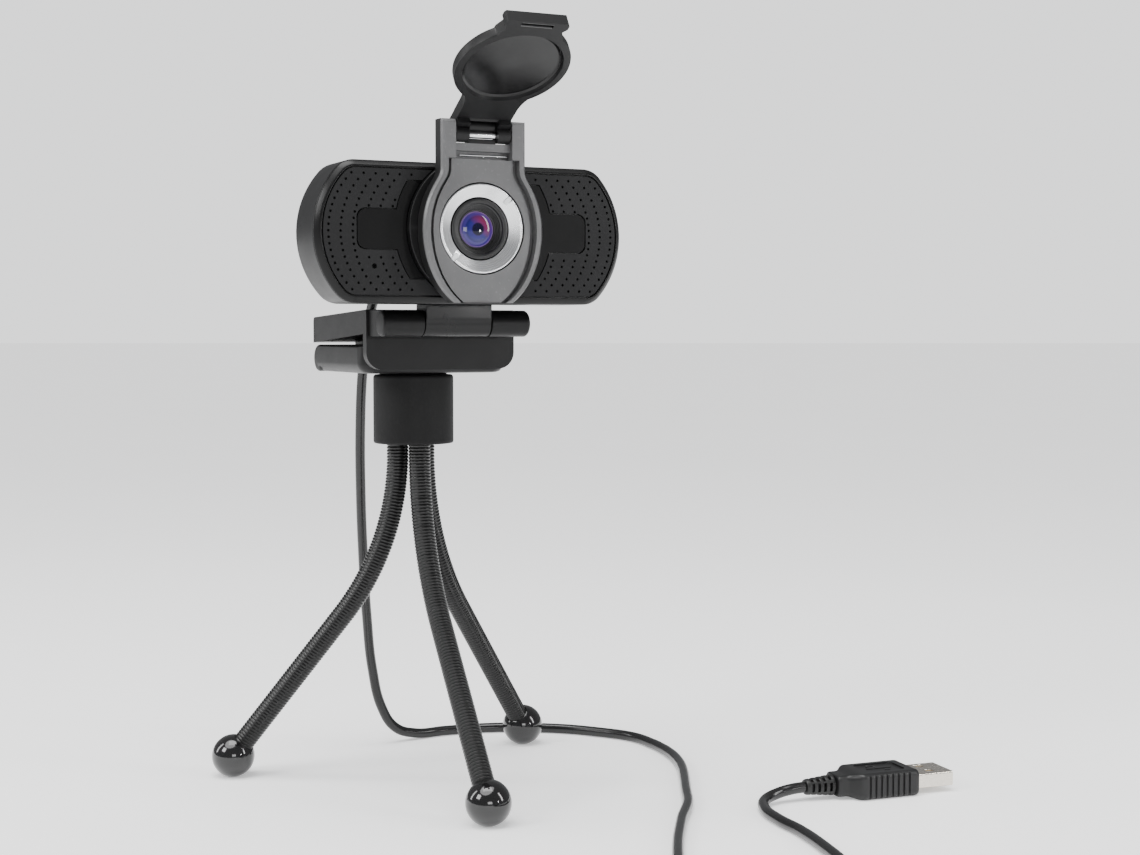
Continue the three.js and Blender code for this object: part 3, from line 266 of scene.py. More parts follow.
def lens_with_painted_reflections(name):
    """Coated front lens: dark pupil, then blue and violet rings painted as reflections with a painted
    highlight near the rim, drifting to a painted magenta reflection on one side; the colour also glows.
    """
    material, tree, shader = new_material(name)
    reach, parts = radial(tree, LENS_SPOT)
    share = math_node(tree, "DIVIDE", reach, GLASS_RADIUS)
    # the rings are painted reflections, and the bright ring near the rim is a painted highlight
    blue = ramp(tree, share, [(0.0, (0.002, 0.002, 0.012)), (0.30, (0.004, 0.003, 0.02)),
                              (0.37, (0.02, 0.015, 0.12)), (0.52, (0.012, 0.012, 0.12)),
                              (0.66, (0.008, 0.008, 0.075)), (0.74, (0.03, 0.02, 0.15)),
                              (0.86, (0.03, 0.018, 0.13)), (0.92, (0.16, 0.1, 0.28)),
                              (1.0, (0.02, 0.01, 0.05))])
    red = ramp(tree, share, [(0.0, (0.002, 0.002, 0.012)), (0.30, (0.004, 0.003, 0.02)),
                             (0.38, (0.10, 0.015, 0.07)), (0.55, (0.13, 0.012, 0.05)),
                             (0.68, (0.09, 0.01, 0.05)), (0.78, (0.05, 0.018, 0.14)),
                             (0.88, (0.1, 0.05, 0.2)), (0.93, (0.26, 0.17, 0.3)),
                             (1.0, (0.03, 0.01, 0.04))])
    # the magenta side is a painted reflection fixed in one direction round the lens
    angle = math_node(tree, "ARCTAN2", parts.outputs["Z"], parts.outputs["X"])
    reflection_lobe = node(tree, "ShaderNodeMath", operation="COSINE")
    tree.links.new(math_node(tree, "SUBTRACT", angle, 0.75), reflection_lobe.inputs[0])
    drift = noise(tree, place(tree), 260, 2)
    side = math_node(tree, "ADD", reflection_lobe.outputs[0], math_node(tree, "MULTIPLY", drift, 0.8))
    colour = mix_colour(tree, remap(tree, side, 0.35, 1.35, 0, 1), blue, red)
    tree.links.new(colour, shader.inputs["Base Color"])
    tree.links.new(remap(tree, drift, 0.3, 0.7, 0.03, 0.07), shader.inputs["Roughness"])
    # the painted colour also drives emission, so the lens glows though it is no lamp
    tree.links.new(colour, shader.inputs["Emission Color"])
    put(shader, {"Emission Strength": 0.3, "Coat Weight": 0.45, "Coat Roughness": 0.02,
                 "Specular IOR Level": 0.2})
    return material


def circuit(name):
    """Green solder mask with copper tracks showing through."""
    material, tree, shader = new_material(name)
    where = place(tree)
    brick = node(tree, "ShaderNodeTexBrick", Scale=420.0)
    tree.links.new(where, brick.inputs["Vector"])
    put(brick, {"Color1": (0.012, 0.09, 0.035, 1), "Color2": (0.016, 0.12, 0.045, 1),
                "Mortar": (0.05, 0.22, 0.08, 1)})
    tree.links.new(brick.outputs["Color"], shader.inputs["Base Color"])
    tree.links.new(remap(tree, noise(tree, where, 300), 0.3, 0.7, 0.25, 0.42), shader.inputs["Roughness"])
    bump(tree, shader, brick.outputs["Fac"], 0.2, 0.03)
    return material


SHELL = moulded("shell_satin", (0.003, 0.003, 0.0031), 0.3, grain=0.12, edge_wear_and_highlight_tone=2.4, gloss=0.2, edge_wear_and_highlight=0.2)
SHELL_REAR = moulded("shell_rear_satin", (0.004, 0.004, 0.0042), 0.38, grain=0.2, edge_wear_and_highlight_tone=2.0, gloss=0.24)
PANEL = moulded("panel_grain", (0.0125, 0.0125, 0.013), 0.55, grain=0.3, edge_wear_and_highlight_tone=1.4, gloss=0.14, edge_wear_and_highlight=0.0)
INLAY = moulded("inlay_smooth", (0.002, 0.002, 0.0021), 0.4, grain=0.05, edge_wear_and_highlight_tone=1.3, gloss=0.13, edge_wear_and_highlight=0.0)
HOUSING = moulded("housing_black", (0.003, 0.003, 0.0032), 0.42, grain=0.1, edge_wear_and_highlight_tone=1.5, gloss=0.22)
FRAME_FACE = moulded("frame_anthracite", (0.108, 0.108, 0.11), 0.4, grain=0.3, grain_size=0.5, edge_wear_and_highlight_tone=1.3,
                     metal=0.45, edge_wear_and_highlight=0.0)
LID_FACE = moulded("lid_dark_grey", (0.006, 0.006, 0.0063), 0.42, grain=0.15, edge_wear_and_highlight_tone=3.4, gloss=0.22, edge_wear_and_highlight=0.0)
DISH = moulded("dish_gloss", (0.0035, 0.0035, 0.0037), 0.16, grain=0.03, edge_wear_and_highlight_tone=1.2, gloss=0.3)
CLIP_GRAIN = moulded("clip_spark_grain", (0.0045, 0.0045, 0.0047), 0.38, grain=0.5, grain_size=0.5,
                     edge_wear_and_highlight_tone=4.0, gloss=0.2, edge_wear_and_highlight=0.0)
NECK_GRAIN = moulded("neck_satin", (0.0035, 0.0035, 0.0037), 0.26, grain=0.15, edge_wear_and_highlight_tone=2.4, gloss=0.25,
                     edge_wear_and_highlight=0.0)
PAD = moulded("pad_rubber", (0.002, 0.002, 0.002), 0.75, grain=0.5, edge_wear_and_highlight_tone=1.2, gloss=0.15)
SLEEVE = moulded("sleeve_soft", (0.006, 0.006, 0.0062), 0.55, grain=0.5, grain_size=0.8, edge_wear_and_highlight_tone=1.4,
                 gloss=0.15)
GOOSENECK = moulded("gooseneck_rubber", (0.004, 0.004, 0.004), 0.3, grain=0.08, edge_wear_and_highlight_tone=2.2)
BALL = moulded("ball_gloss", (0.006, 0.006, 0.0062), 0.09, grain=0.02, edge_wear_and_highlight_tone=1.2, coat=0.6)
JACKET = moulded("jacket_gloss", (0.007, 0.007, 0.0072), 0.24, grain=0.05, edge_wear_and_highlight_tone=1.0, coat=0.2)
RELIEF = moulded("relief_rubber", (0.006, 0.006, 0.006), 0.42, grain=0.25, edge_wear_and_highlight_tone=1.8)
OVERMOULD = moulded("overmould_black", (0.007, 0.007, 0.0073), 0.4, grain=0.35, edge_wear_and_highlight_tone=2.2)
OPTIC = moulded("optic_black", (0.009, 0.009, 0.0095), 0.36, grain=0.15, edge_wear_and_highlight_tone=2.2)
CLEAR = moulded("milky_plastic", (0.72, 0.73, 0.74), 0.25, grain=0.05, edge_wear_and_highlight_tone=1.0, coat=0.3)
CHIP = moulded("chip_epoxy", (0.015, 0.015, 0.017), 0.3, grain=0.2)
RING = ringed("ring_turned", (0.8, 0.805, 0.82), 0.26)
STEEL = brushed("steel_drawn", (0.76, 0.765, 0.78), 0.14, stretch=(0.05, 1, 1))
NICKEL = brushed("nickel_plate", (0.76, 0.71, 0.63), 0.22, stretch=(0.3, 1, 1))
BRASS = brushed("brass_turned", (0.72, 0.5, 0.2), 0.3, stretch=(1, 1, 0.1))
GLASS = lens_with_painted_reflections("lens_with_painted_reflections")
BOARD = circuit("board_green")


# ---- mesh making

def make(name, verts, faces, matrix=None):
    mesh = bpy.data.meshes.new(name)
    spots = [(matrix @ Vector(v) if matrix else Vector(v)) * MM for v in verts]
    mesh.from_pydata(spots, [], faces)
    work = bmesh.new()
    work.from_mesh(mesh)
    bmesh.ops.remove_doubles(work, verts=work.verts, dist=1e-7)
    bmesh.ops.recalc_face_normals(work, faces=work.faces)
    work.to_mesh(mesh)
    work.free()
    return placed(name, mesh)


def skin(name, rings, matrix=None, closed=False):
    """A surface through rings of equal point count; closed joins the last ring to the first."""
    count = len(rings[0])
    verts = [p for ring in rings for p in ring]
    faces = []
    for s in range(len(rings) - (0 if closed else 1)):
        t = (s + 1) % len(rings)
        for i in range(count):
            j = (i + 1) % count
            faces.append((s * count + i, s * count + j, t * count + j, t * count + i))
    if not closed:
        last = (len(rings) - 1) * count
        faces.append(tuple(reversed(range(count))))
        faces.append(tuple(range(last, last + count)))
    return make(name, verts, faces, matrix)


TURN = {
    "X": lambda r, h, a: (h, r * math.cos(a), r * math.sin(a)),
    "Y": lambda r, h, a: (r * math.cos(a), h, r * math.sin(a)),
    "Z": lambda r, h, a: (r * math.cos(a), r * math.sin(a), h),
}


def turned(name, profile, axis, matrix=None, sides=64, closed=False):
    """A lathe shape; the profile is [radius, height] pairs, closed for one with a hole."""
    verts = [TURN[axis](r, h, 2 * math.pi * i / sides) for r, h in profile for i in range(sides)]
    faces = []
    for s in range(len(profile) - (0 if closed else 1)):
        t = (s + 1) % len(profile)
        for i in range(sides):
            j = (i + 1) % sides
            faces.append((s * sides + i, s * sides + j, t * sides + j, t * sides + i))
    return make(name, verts, faces, matrix)


def wire(name, radius, half, corner, matrix, sides):
    """A round bar along X whose ends are chamfered."""
    end = [(radius, half - corner), (radius - corner, half), (0, half)]
    return turned(name, [(r, -h) for r, h in reversed(end)] + end, "X", matrix, sides)


def rod(name, radius, low, high, axis, matrix=None, sides=48):
    return turned(name, [(0, low), (radius, low), (radius, high), (0, high)], axis, matrix, sides)


def block(name, x0, x1, y0, y1, z0, z1, matrix=None):
    square = [(x0, y0), (x1, y0), (x1, y1), (x0, y1)]
    return skin(name, [[(x, y, z) for x, y in square] for z in (z0, z1)], matrix)


LAY = {
    "front": lambda u, v, level: (u, level, v),
    "up": lambda u, v, level: (u, v, level),
    "side": lambda u, v, level: (level, u, v),
}


def slab(name, outline, low, high, way, matrix=None):
    return skin(name, [[LAY[way](u, v, level) for u, v in outline] for level in (low, high)], matrix)


def arc(cx, cy, radius, start, end, steps):
    spots = []
    for i in range(steps + 1):
        a = math.radians(start + (end - start) * i / steps)
        spots.append((cx + radius * math.cos(a), cy + radius * math.sin(a)))
    return spots


def rounded(x0, x1, y0, y1, low, high=None, steps=8):
    high = low if high is None else high
    return (arc(x1 - high, y1 - high, high, 90, 0, steps) + arc(x1 - low, y0 + low, low, 0, -90, steps)
            + arc(x0 + low, y0 + low, low, -90, -180, steps)
            + arc(x0 + high, y1 - high, high, 180, 90, steps))


def settle(piece):
    """Turns the modifiers into the mesh."""
    graph = bpy.context.evaluated_depsgraph_get()
    mesh = bpy.data.meshes.new_from_object(piece.evaluated_get(graph))
    piece.modifiers.clear()
    piece.data = mesh


def combine(piece, others, operation):
    for other in others:
        modifier = piece.modifiers.new("part", "BOOLEAN")
        modifier.operation = operation
        modifier.object = other
        modifier.solver = "EXACT"
    settle(piece)
    for other in others:
        bpy.data.objects.remove(other)
    return piece


def cut(piece, *others):
    return combine(piece, others, "DIFFERENCE")


def join(piece, *others):
    return combine(piece, others, "UNION")


def common(piece, *others):
    return combine(piece, others, "INTERSECT")


def merged(name, pieces):
    """Several separate shapes as one piece."""
    work = bmesh.new()
    for piece in pieces:
        work.from_mesh(piece.data)
        bpy.data.objects.remove(piece)
    mesh = bpy.data.meshes.new(name)
    work.to_mesh(mesh)
    work.free()
    return placed(name, mesh)


BEVEL_DEG = 32
SHARP_DEG = 38


def done(piece, body, nodes, material, edge=0.0, segments=3):
    """Rounds the edges, sets the shading and hangs the piece on its body."""
    if edge:
        modifier = piece.modifiers.new("edge", "BEVEL")
        modifier.width = edge * MM
        modifier.segments = segments
        modifier.limit_method = "ANGLE"
        modifier.angle_limit = math.radians(BEVEL_DEG)
        settle(piece)
    piece.data.materials.clear()
    piece.data.materials.append(material)
    piece.data.shade_smooth()
    piece.data.set_sharp_from_angle(angle=math.radians(SHARP_DEG))
    weighted = piece.modifiers.new("normals", "WEIGHTED_NORMAL")
    weighted.keep_sharp = True
    settle(piece)
    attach(piece, body)
    if nodes:
        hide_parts(*nodes)


# ---- lead

CORD_RADIUS = 1.65
COIL_LOW = 0.9 + CORD_RADIUS
COIL_HIGH = COIL_LOW + 2 * CORD_RADIUS
COIL_CENTRE = (24.7, -178.4)
COIL_INSIDE = 14.05
COIL_TURNS = 6.5
TURNS_IN = 3
STEPS_PER_TURN = 14
RUN = [
    (0, -6.4, 162.35), (0, 2.3, 162.35), (0, 12, 161.8), (-0.5, 22, 158.94), (-1, 31, 151.96),
    (-1.5, 37.5, 140.92), (-2, 41.5, 125.98), (-2, 44, 107.96), (-1.5, 45.5, 87.99), (-0.5, 46.5, 65.91),
    (1, 47.2, 44), (3, 47.6, 25.98), (6.5, 48.2, 12.5), (11.5, 49, 5.2), (19, 50.2, 2.2),
    (31, 51.2, CORD_RADIUS), (45, 49, CORD_RADIUS), (60, 42, CORD_RADIUS), (76, 27.8, CORD_RADIUS),
    (86, 8, CORD_RADIUS), (62.9, -61.3, CORD_RADIUS), (48.4, -83.2, CORD_RADIUS),
    (34.7, -105.4, CORD_RADIUS), (22.6, -128.4, CORD_RADIUS), (12, -150, 2.2),
]
TAIL = [
    (52.4, -176.3, 5), (58.6, -162.7, 2.4), (64.7, -144.5, CORD_RADIUS), (69.8, -124.8, CORD_RADIUS),
    (73.2, -106.4, CORD_RADIUS), (74, -93.4, CORD_RADIUS), (76.6, -82.4, CORD_RADIUS), (80.7, -76.1, 2.1),
    (86.7, -74.2, 3.1), (91, -74.5, 3.8), (95, -74.8, 4),
]


def coil_spot(turn):
    """Three turns in, lying on the tie, a quick climb, and three turns out on top of them."""
    if turn < TURNS_IN:
        radius = COIL_INSIDE + 2 * CORD_RADIUS * (TURNS_IN - turn)
    else:
        radius = COIL_INSIDE + 2 * CORD_RADIUS * max(0, turn - TURNS_IN - 0.5)
    climb = min(1, max(0, (turn - TURNS_IN) / 0.35))
    height = COIL_LOW + (COIL_HIGH - COIL_LOW) * climb * climb * (3 - 2 * climb)
    a = math.radians(180 - VIEW_DEG) + 2 * math.pi * turn
    return (COIL_CENTRE[0] + radius * math.cos(a), COIL_CENTRE[1] + radius * math.sin(a), height)


coil = [coil_spot(i / STEPS_PER_TURN) for i in range(int(COIL_TURNS * STEPS_PER_TURN) + 1)]
route = [FLOOR @ Vector(p) for p in RUN + coil + TAIL]

lead_data = bpy.data.curves.new("lead", "CURVE")
lead_data.dimensions = "3D"
lead_data.resolution_u = 10
lead_data.bevel_depth = CORD_RADIUS * MM
lead_data.bevel_resolution = 6
lead_data.use_fill_caps = True
spline = lead_data.splines.new("BEZIER")
spline.bezier_points.add(len(route) - 1)
for point, spot in zip(spline.bezier_points, route):
    point.co = spot * MM
    point.handle_left_type = "AUTO"
    point.handle_right_type = "AUTO"
lead = placed("lead", lead_data)
lead_data.materials.append(JACKET)
bpy.context.view_layer.update()
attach(lead, "tripod")
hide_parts("cable_run", "cable_coil", "cable_tail")

# strain relief on the back shell: a tapered boot with rings
boot = [(0, 25.6), (4.1, 25.6), (4.1, 27.2), (3.95, 27.6)]
RELIEF_RINGS = 5
RELIEF_PITCH = 2.7
for i in range(RELIEF_RINGS):
    start = 28.2 + i * RELIEF_PITCH
    wide = 3.75 - 0.3 * i
    boot += [(wide, start), (wide, start + 1.5), (wide - 0.1, start + 1.7), (wide - 0.75, start + 1.8),
             (wide - 0.75, start + 2.5), (wide - 0.15, start + 2.6)]
boot += [(2.4, 41.7), (2.3, 42.2), (1.9, 42.3), (0, 42.3)]
GLAND = CAMERA @ moved(0, 0, -5)
gland = turned("cable_boot", boot, "Y", GLAND, sides=40)
done(gland, "camera", ["cable_gland"], RELIEF)

# plug: x from the lead's end towards the tip, z from the middle of the plug
PLUG_TURN_DEG = -6
PLUG = FLOOR @ moved(95.3, -74.9, 4) @ rotated(PLUG_TURN_DEG, "Z")
relief = turned("plug_boot", [(0, 0), (2.2, 0), (2.35, 0.3), (2.75, 4.6), (3.15, 8.7), (3.1, 9), (0, 9)],
                "X", PLUG, 40)
slots = []
for i in range(4):
    start = 1.3 + i * 1.9
    slots.append(block("slot", start, start + 0.9, -2.2, 2.2, 1.7, 6, PLUG))
    slots.append(block("slot", start, start + 0.9, 1.7, 6, -1.3, 1.3, PLUG))
    slots.append(block("slot", start, start + 0.9, -2.2, 2.2, -5.65, -2.05, PLUG))
    slots.append(block("slot", start, start + 0.9, -6, -1.7, -1.3, 1.3, PLUG))
cut(relief, *slots)
done(relief, "tripod", ["plug_relief"], RELIEF, edge=0.1, segments=2)

NOSE = 9.3
BODY_END = NOSE + 25.6


def plug_ring(x, width, height, corner=1.6):
    return [(x, u, v) for u, v in rounded(-width / 2, width / 2, -height / 2, height / 2, corner, steps=6)]


plug_sections = [(0, 8.0, 5.8), (0.3, 8.6, 6.3), (0.8, 8.8, 6.4), (2.8, 8.8, 6.4), (3.6, 9.3, 6.55),
                 (4.6, 11.2, 7.1), (5.6, 13.4, 7.65), (6.5, 14.8, 7.95), (7.4, 15.2, 8), (24.4, 15.2, 8),
                 (25.1, 15.0, 7.8), (25.5, 14.6, 7.4), (25.6, 14.2, 7.0)]
overmould = skin("plug_overmould", [plug_ring(NOSE + x, w, h) for x, w, h in plug_sections], PLUG)
panel = slab("panel", rounded(NOSE + 9, NOSE + 22.5, -4.6, 4.6, 1.4), 3.55, 6, "up", PLUG)
ribs = [block("rib", NOSE + 8.4 + i * 1.9, NOSE + 9.1 + i * 1.9, side * 7.05, side * 9, -5, 5, PLUG)
        for i in range(8) for side in (-1, 1)]
cut(overmould, panel, *ribs)
done(overmould, "tripod", ["plug_body"], OVERMOULD, edge=0.16, segments=2)

# a plain raised mark on the plug: a bar, a ring and a dot
mark = [slab("bar", rounded(NOSE + 11.5, NOSE + 20, -0.3, 0.3, 0.29), 3.4, 3.78, "up", PLUG),
        turned("ring", [(0.9, 3.4), (1.5, 3.4), (1.5, 3.78), (0.9, 3.78)], "Z",
               PLUG @ moved(NOSE + 14, 2.1, 0), 32, closed=True),
        turned("dot", [(0, 3.4), (0.9, 3.4), (0.85, 3.74), (0.6, 3.8), (0, 3.82)], "Z",
               PLUG @ moved(NOSE + 17.6, -2.1, 0), 32)]
plain_mark = merged("plug_mark", mark)
done(plain_mark, "tripod", [], OVERMOULD)

SHELL_START = BODY_END + GAP
TIP = SHELL_START + 12.2
tin = slab("plug_tin", rounded(-6, 6, -2.25, 2.25, 0.55, steps=5), SHELL_START, TIP, "side", PLUG)
hollow = block("hollow", SHELL_START - 1, TIP + 1, -5.6, 5.6, -1.85, 1.85, PLUG)
windows = [block("window", SHELL_START + 4.4, SHELL_START + 6.9, y - 1.2, y + 1.2, -5, 5, PLUG)
           for y in (-2.9, 2.9)]
half_round = rod("half_round", 0.8, 1.5, 5, "Z", PLUG @ moved(SHELL_START + 2.1, 0, 0), 32)
cut(tin, hollow, *windows, half_round)
seam = block("seam", SHELL_START - 1, TIP + 1, -0.06, 0.06, -3, -1, PLUG)
cut(tin, seam)
done(tin, "tripod", ["plug_shell"], NICKEL, edge=0.1, segments=2)
CONTACTS_Y = (-3.5, -1, 1, 3.5)
tongue = block("plug_tongue_piece", SHELL_START, TIP - 0.6, -5.2, 5.2, -1.45, 0.35, PLUG)
contacts = [block("contact", SHELL_START + 2, TIP - 1.6, y - 0.5, y + 0.5, 0.2, 1, PLUG)
            for y in CONTACTS_Y]
cut(tongue, *contacts)
done(tongue, "tripod", ["plug_tongue"], CLEAR, edge=0.1, segments=2)
pads = merged("plug_contacts", [
    block("pad", SHELL_START + 2.1, TIP - 1.7, y - 0.42, y + 0.42, 0.16, 0.3, PLUG) for y in CONTACTS_Y])
done(pads, "tripod", [], BRASS, edge=0.03, segments=2)

# tie round the coil: a rounded band that follows the bundle's section
TIE_TURN_DEG = 244
TIE = FLOOR @ moved(*COIL_CENTRE, 0) @ rotated(TIE_TURN_DEG, "Z")
outer_loop = rounded(11.5, 26.5, 0.02, 8.35, 2.2, steps=8)
inner_loop = rounded(12.1, 25.9, 0.6, 7.8, 1.7, steps=8)
tie_rings = []
for y, outline in ((-3, inner_loop), (-3, outer_loop), (3, outer_loop), (3, inner_loop)):
    tie_rings.append([(u, y, v) for u, v in outline])
tie = skin("tie_band", tie_rings, TIE, closed=True)
done(tie, "tripod", ["coil_tie"], SLEEVE, edge=0.12, segments=2)


# ---- camera body

BODY_HALF_HEIGHT = 19.75
CORNER_RADIUS = 7
END_RADIUS = 26
END_CENTRE = 21
SCREW_X = 31
MIC_X, MIC_Z = -30, -9.5
FLAT_XS = (-14, -7, 0, 7, 14)
WALL_BEND = 16.5
WALL_DEPTH = 9.5
DOME_INSET = 9
MIC = CAMERA @ moved(MIC_X, 0, MIC_Z)


def body_outline(inset, corner_steps=12, side_steps=40):
    """Outline of the body as seen from the front, moved inwards by the inset."""
    half = BODY_HALF_HEIGHT - inset
    corner = max(CORNER_RADIUS - inset, 2)
    side = END_RADIUS - inset
    turn = math.asin((half - corner) / (side - corner))
    turn_deg = math.degrees(turn)
    cx = END_CENTRE + (side - corner) * math.cos(turn)
    right = (arc(cx, half - corner, corner, 90, turn_deg, corner_steps)
             + arc(END_CENTRE, 0, side, turn_deg, -turn_deg, side_steps)[1:-1]
             + arc(cx, corner - half, corner, -turn_deg, -90, corner_steps))
    left = [(-x, z) for x, z in reversed(right)]
    top = [(x, half) for x in FLAT_XS]
    bottom = [(x, -half) for x in reversed(FLAT_XS)]
    return right + bottom + left + top


def body_inset(y):
    """How far the back shell has come in at a depth."""
    deep = (y - WALL_BEND) / WALL_DEPTH
    return 0 if deep <= 0 else DOME_INSET * (1 - math.cos(deep * math.pi / 2))


def body_ring(inset, y):
    return [(x, y, z) for x, z in body_outline(inset)]


bezel_profile = [(2.0, 1.1), (2.0, 0.16), (1.93, 0.04), (1.75, 0.0), (1.5, 0.06), (1.1, 0.42), (0.6, 0.92),
                 (0.25, 1.3), (0.06, 1.62), (0, 1.9), (0.03, 2.02), (0.15, 2.08), (1.7, 2.1)]
bezel = skin("bezel", [body_ring(inset, y) for inset, y in bezel_profile], CAMERA)
cut(bezel, rod("lens_hole", 9.8, -3, 5, "Y", LENS), rod("mic_hole", 0.7, -1, 4, "Y", MIC, 24))
done(bezel, "camera", ["front_bezel"], SHELL)

inside = [(body_inset(y) + 1.6, y) for y in (24.4, 23, 21.5, 20, 18, WALL_BEND, 10, 2.38)]
outside = [(0.3, 2.3), (0.08, 2.36), (0, 2.5), (0, 9), (0, WALL_BEND)]
for i in range(1, 14):
    depth = WALL_BEND + WALL_DEPTH * i / 14
    outside.append((body_inset(depth), depth))
outside += [(8.35, 25.72), (8.75, 25.9), (9.3, 26.0)]
back_shell = skin("back_shell", [body_ring(inset, y) for inset, y in inside + outside], CAMERA)
wells = [rod("well", 2.6, 23, 30, "Y", CAMERA @ moved(side * SCREW_X, 0, 0), 40)
         for side in (-1, 1)]
cut(back_shell, rod("gland_hole", 3.3, 20, 30, "Y", GLAND, 40), *wells)
done(back_shell, "camera", ["rear_shell"], SHELL_REAR)

for side, word in ((-1, "left"), (1, "right")):
    at = CAMERA @ moved(side * SCREW_X, 0, 0)
    screw = turned(f"back_screw_{word}", [(0, 9), (0.9, 9), (0.95, 22.9), (2.2, 23.3), (2.25, 24.2),
                                          (2.0, 24.6), (1.2, 24.85), (0, 24.9)], "Y", at, 40)
    cross = [block("cross", -1.2, 1.2, 24.0, 26, -0.22, 0.22, at),
             block("cross", -0.22, 0.22, 24.0, 26, -1.2, 1.2, at)]
    cut(screw, *cross)
    done(screw, "camera", [f"body_screw_{word}"], STEEL, edge=0.05, segments=2)


def inlay_solid(name, side, grow, low, high):
    """Black panel shape: a band round the lens housing with a tongue towards the end of the body."""
    band = rod(name, BAND_RADIUS + grow, low, high, "Y", LENS, 120)
    common(band, block("trim", 8, 40, low - 1, high + 1, -14 - grow, 13 + grow, LENS))
    tongue_outline = rounded(15, 34.8 + grow, -6 - grow, 5 + grow, 2.6, steps=8)
    join(band, slab("tongue", tongue_outline, low, high, "front", LENS))
    if side < 0:
        work = bmesh.new()
        work.from_mesh(band.data)
        bmesh.ops.scale(work, vec=(-1, 1, 1), verts=work.verts)
        bmesh.ops.reverse_faces(work, faces=work.faces)
        work.to_mesh(band.data)
        work.free()
    return band


def panel_solid(name):
    return skin(name, [body_ring(2.3, 0.8), body_ring(2.3, 0.16), body_ring(2.36, 0.05),
                       body_ring(2.48, 0.0)], CAMERA)


HOLE_ROWS = 19
HOLE_PITCH = 1.77
ARC_PITCH = 3.5
ARC_RADIUS = 22.2
HOUSING_ROOM = 20.6
BAND_RADIUS = 23.9
MIC_ROOM = 1.5
for side, word in ((-1, "left"), (1, "right")):
    plate = panel_solid(f"grille_plate_{word}")
    inner, outer = sorted((side * 1, side * 60))
    common(plate, block("half", inner, outer, -3, 3, -30, 30, CAMERA))
    cut(plate, rod("clear", HOUSING_ROOM, -3, 3, "Y", LENS, 120),
        inlay_solid("inlay_room", side, GAP, -3, 3))
    holes = []
    for row in range(HOLE_ROWS):
        z = (row - (HOLE_ROWS - 1) / 2) * HOLE_PITCH
        end = END_CENTRE + math.sqrt(ARC_RADIUS ** 2 - z * z)
        columns = 3 if 6 <= row <= 12 else 6
        for k in range(columns):
            x = end - k * ARC_PITCH
            from_lens = math.hypot(x, z - LENS_RISE)
            near_band = -14 < z - LENS_RISE < 14 and from_lens < BAND_RADIUS + 1
            on_microphone = side < 0 and math.hypot(x + MIC_X, z - MIC_Z) < MIC_ROOM
            if near_band or on_microphone or from_lens < HOUSING_ROOM + 0.9:
                continue
            holes.append(rod("hole", 0.39, -2, 3, "Y", CAMERA @ moved(side * x, 0, z), 12))
    if side < 0:
        holes.append(rod("mic", 0.75, -2, 3, "Y", MIC, 24))
    cut(plate, merged("holes", holes))
    done(plate, "camera", [f"grille_{word}"], PANEL)

    insert = inlay_solid(f"inlay_plate_{word}", side, 0, 0.12, 0.8)
    cut(insert, rod("clear", HOUSING_ROOM, -3, 3, "Y", LENS, 120))
    done(insert, "camera", [f"inlay_{word}"], INLAY, edge=0.14, segments=2)

housing = rod("housing", 20.3, -1.8, 0.8, "Y", LENS, 120)
limit = skin("limit", [body_ring(0.35, -3), body_ring(0.35, 3)], CAMERA)
common(housing, limit)
cut(housing, rod("bore", 8.9, -3, 3, "Y", LENS, 96))
done(housing, "camera", ["lens_housing"], HOUSING, edge=0.3, segments=3)

# ---- lens

LIGHT_REACH = 11.3
ring_profile = [(8.9, -2.4), (12.6, -2.4), (12.6, -5.1), (12.52, -5.28), (12.35, -5.38), (12.1, -5.4),
                (11.85, -5.32), (11.7, -5.2), (8.98, -3.78), (8.9, -3.7)]
ring = turned("turned_ring", ring_profile, "Y", LENS, 160, closed=True)
light_places = []
for degrees in (45, 225):
    a = math.radians(degrees)
    spot = moved(LIGHT_REACH * math.cos(a), 0, LIGHT_REACH * math.sin(a))
    light_places.append(LENS @ spot @ rotated(90 - degrees, "Y"))
notch_outline = rounded(-0.8, 0.8, -1.3, 1.5, 0.7)
cut(ring, *[slab("notch", notch_outline, -8, -4.75, "front", at) for at in light_places])
done(ring, "camera", ["lens_ring"], RING, edge=0.05, segments=2)
for i, at in enumerate(light_places):
    pipe_outline = rounded(-0.68, 0.68, -1.18, 1.38, 0.6, steps=8)
    pipe = slab(f"light_window_{i + 1}", pipe_outline, -5.2, -4.7, "front", at)
    done(pipe, "camera", [f"light_pipe_{i + 1}"], CLEAR, edge=0.18, segments=3)

barrel = [(4.4, 13), (6, 13), (6, 0.5), (8.6, 0.5), (8.6, -3.55), (8.5, -3.8), (8.25, -3.9), (7.4, -3.9),
          (7.2, -3.82), (7.12, -3.6), (7.1, -3.15), (6.95, -3.0), (6.6, -2.95), (6.55, -2.6), (6.3, -2.55),
          (6.25, -2.2), (6.0, -2.15), (5.95, -1.8), (5.72, -1.75), (5.65, -1.2), (5.65, 1.3), (4.4, 1.3)]
thread = []
for i in range(14):
    thread += [(6.0, 12.6 - i * 0.8), (5.75, 12.3 - i * 0.8)]
barrel = barrel[:2] + thread + barrel[2:]
tube = turned("stepped_barrel", barrel, "Y", LENS, 120, closed=True)
done(tube, "camera", ["lens_barrel"], OPTIC)
DOME_STEPS = 29
glass_profile = [(0, -2.5)]
for i in range(1, DOME_STEPS + 1):
    glass_profile.append((GLASS_RADIUS * math.sin(math.radians(3.1 * i)),
                          -2.5 + 1.9 * (i / DOME_STEPS) ** 2))
glass_profile += [(GLASS_RADIUS, -0.5), (GLASS_RADIUS, 1), (0, 1)]
front_glass = turned("front_glass", glass_profile, "Y", LENS, 96)
done(front_glass, "camera", ["front_lens"], GLASS)
retainer = turned("lens_retainer", [(5.05, -1.25), (5.62, -1.05), (5.62, -1.7), (5.5, -1.78), (5.2, -1.62)],
                  "Y", LENS, 96, closed=True)
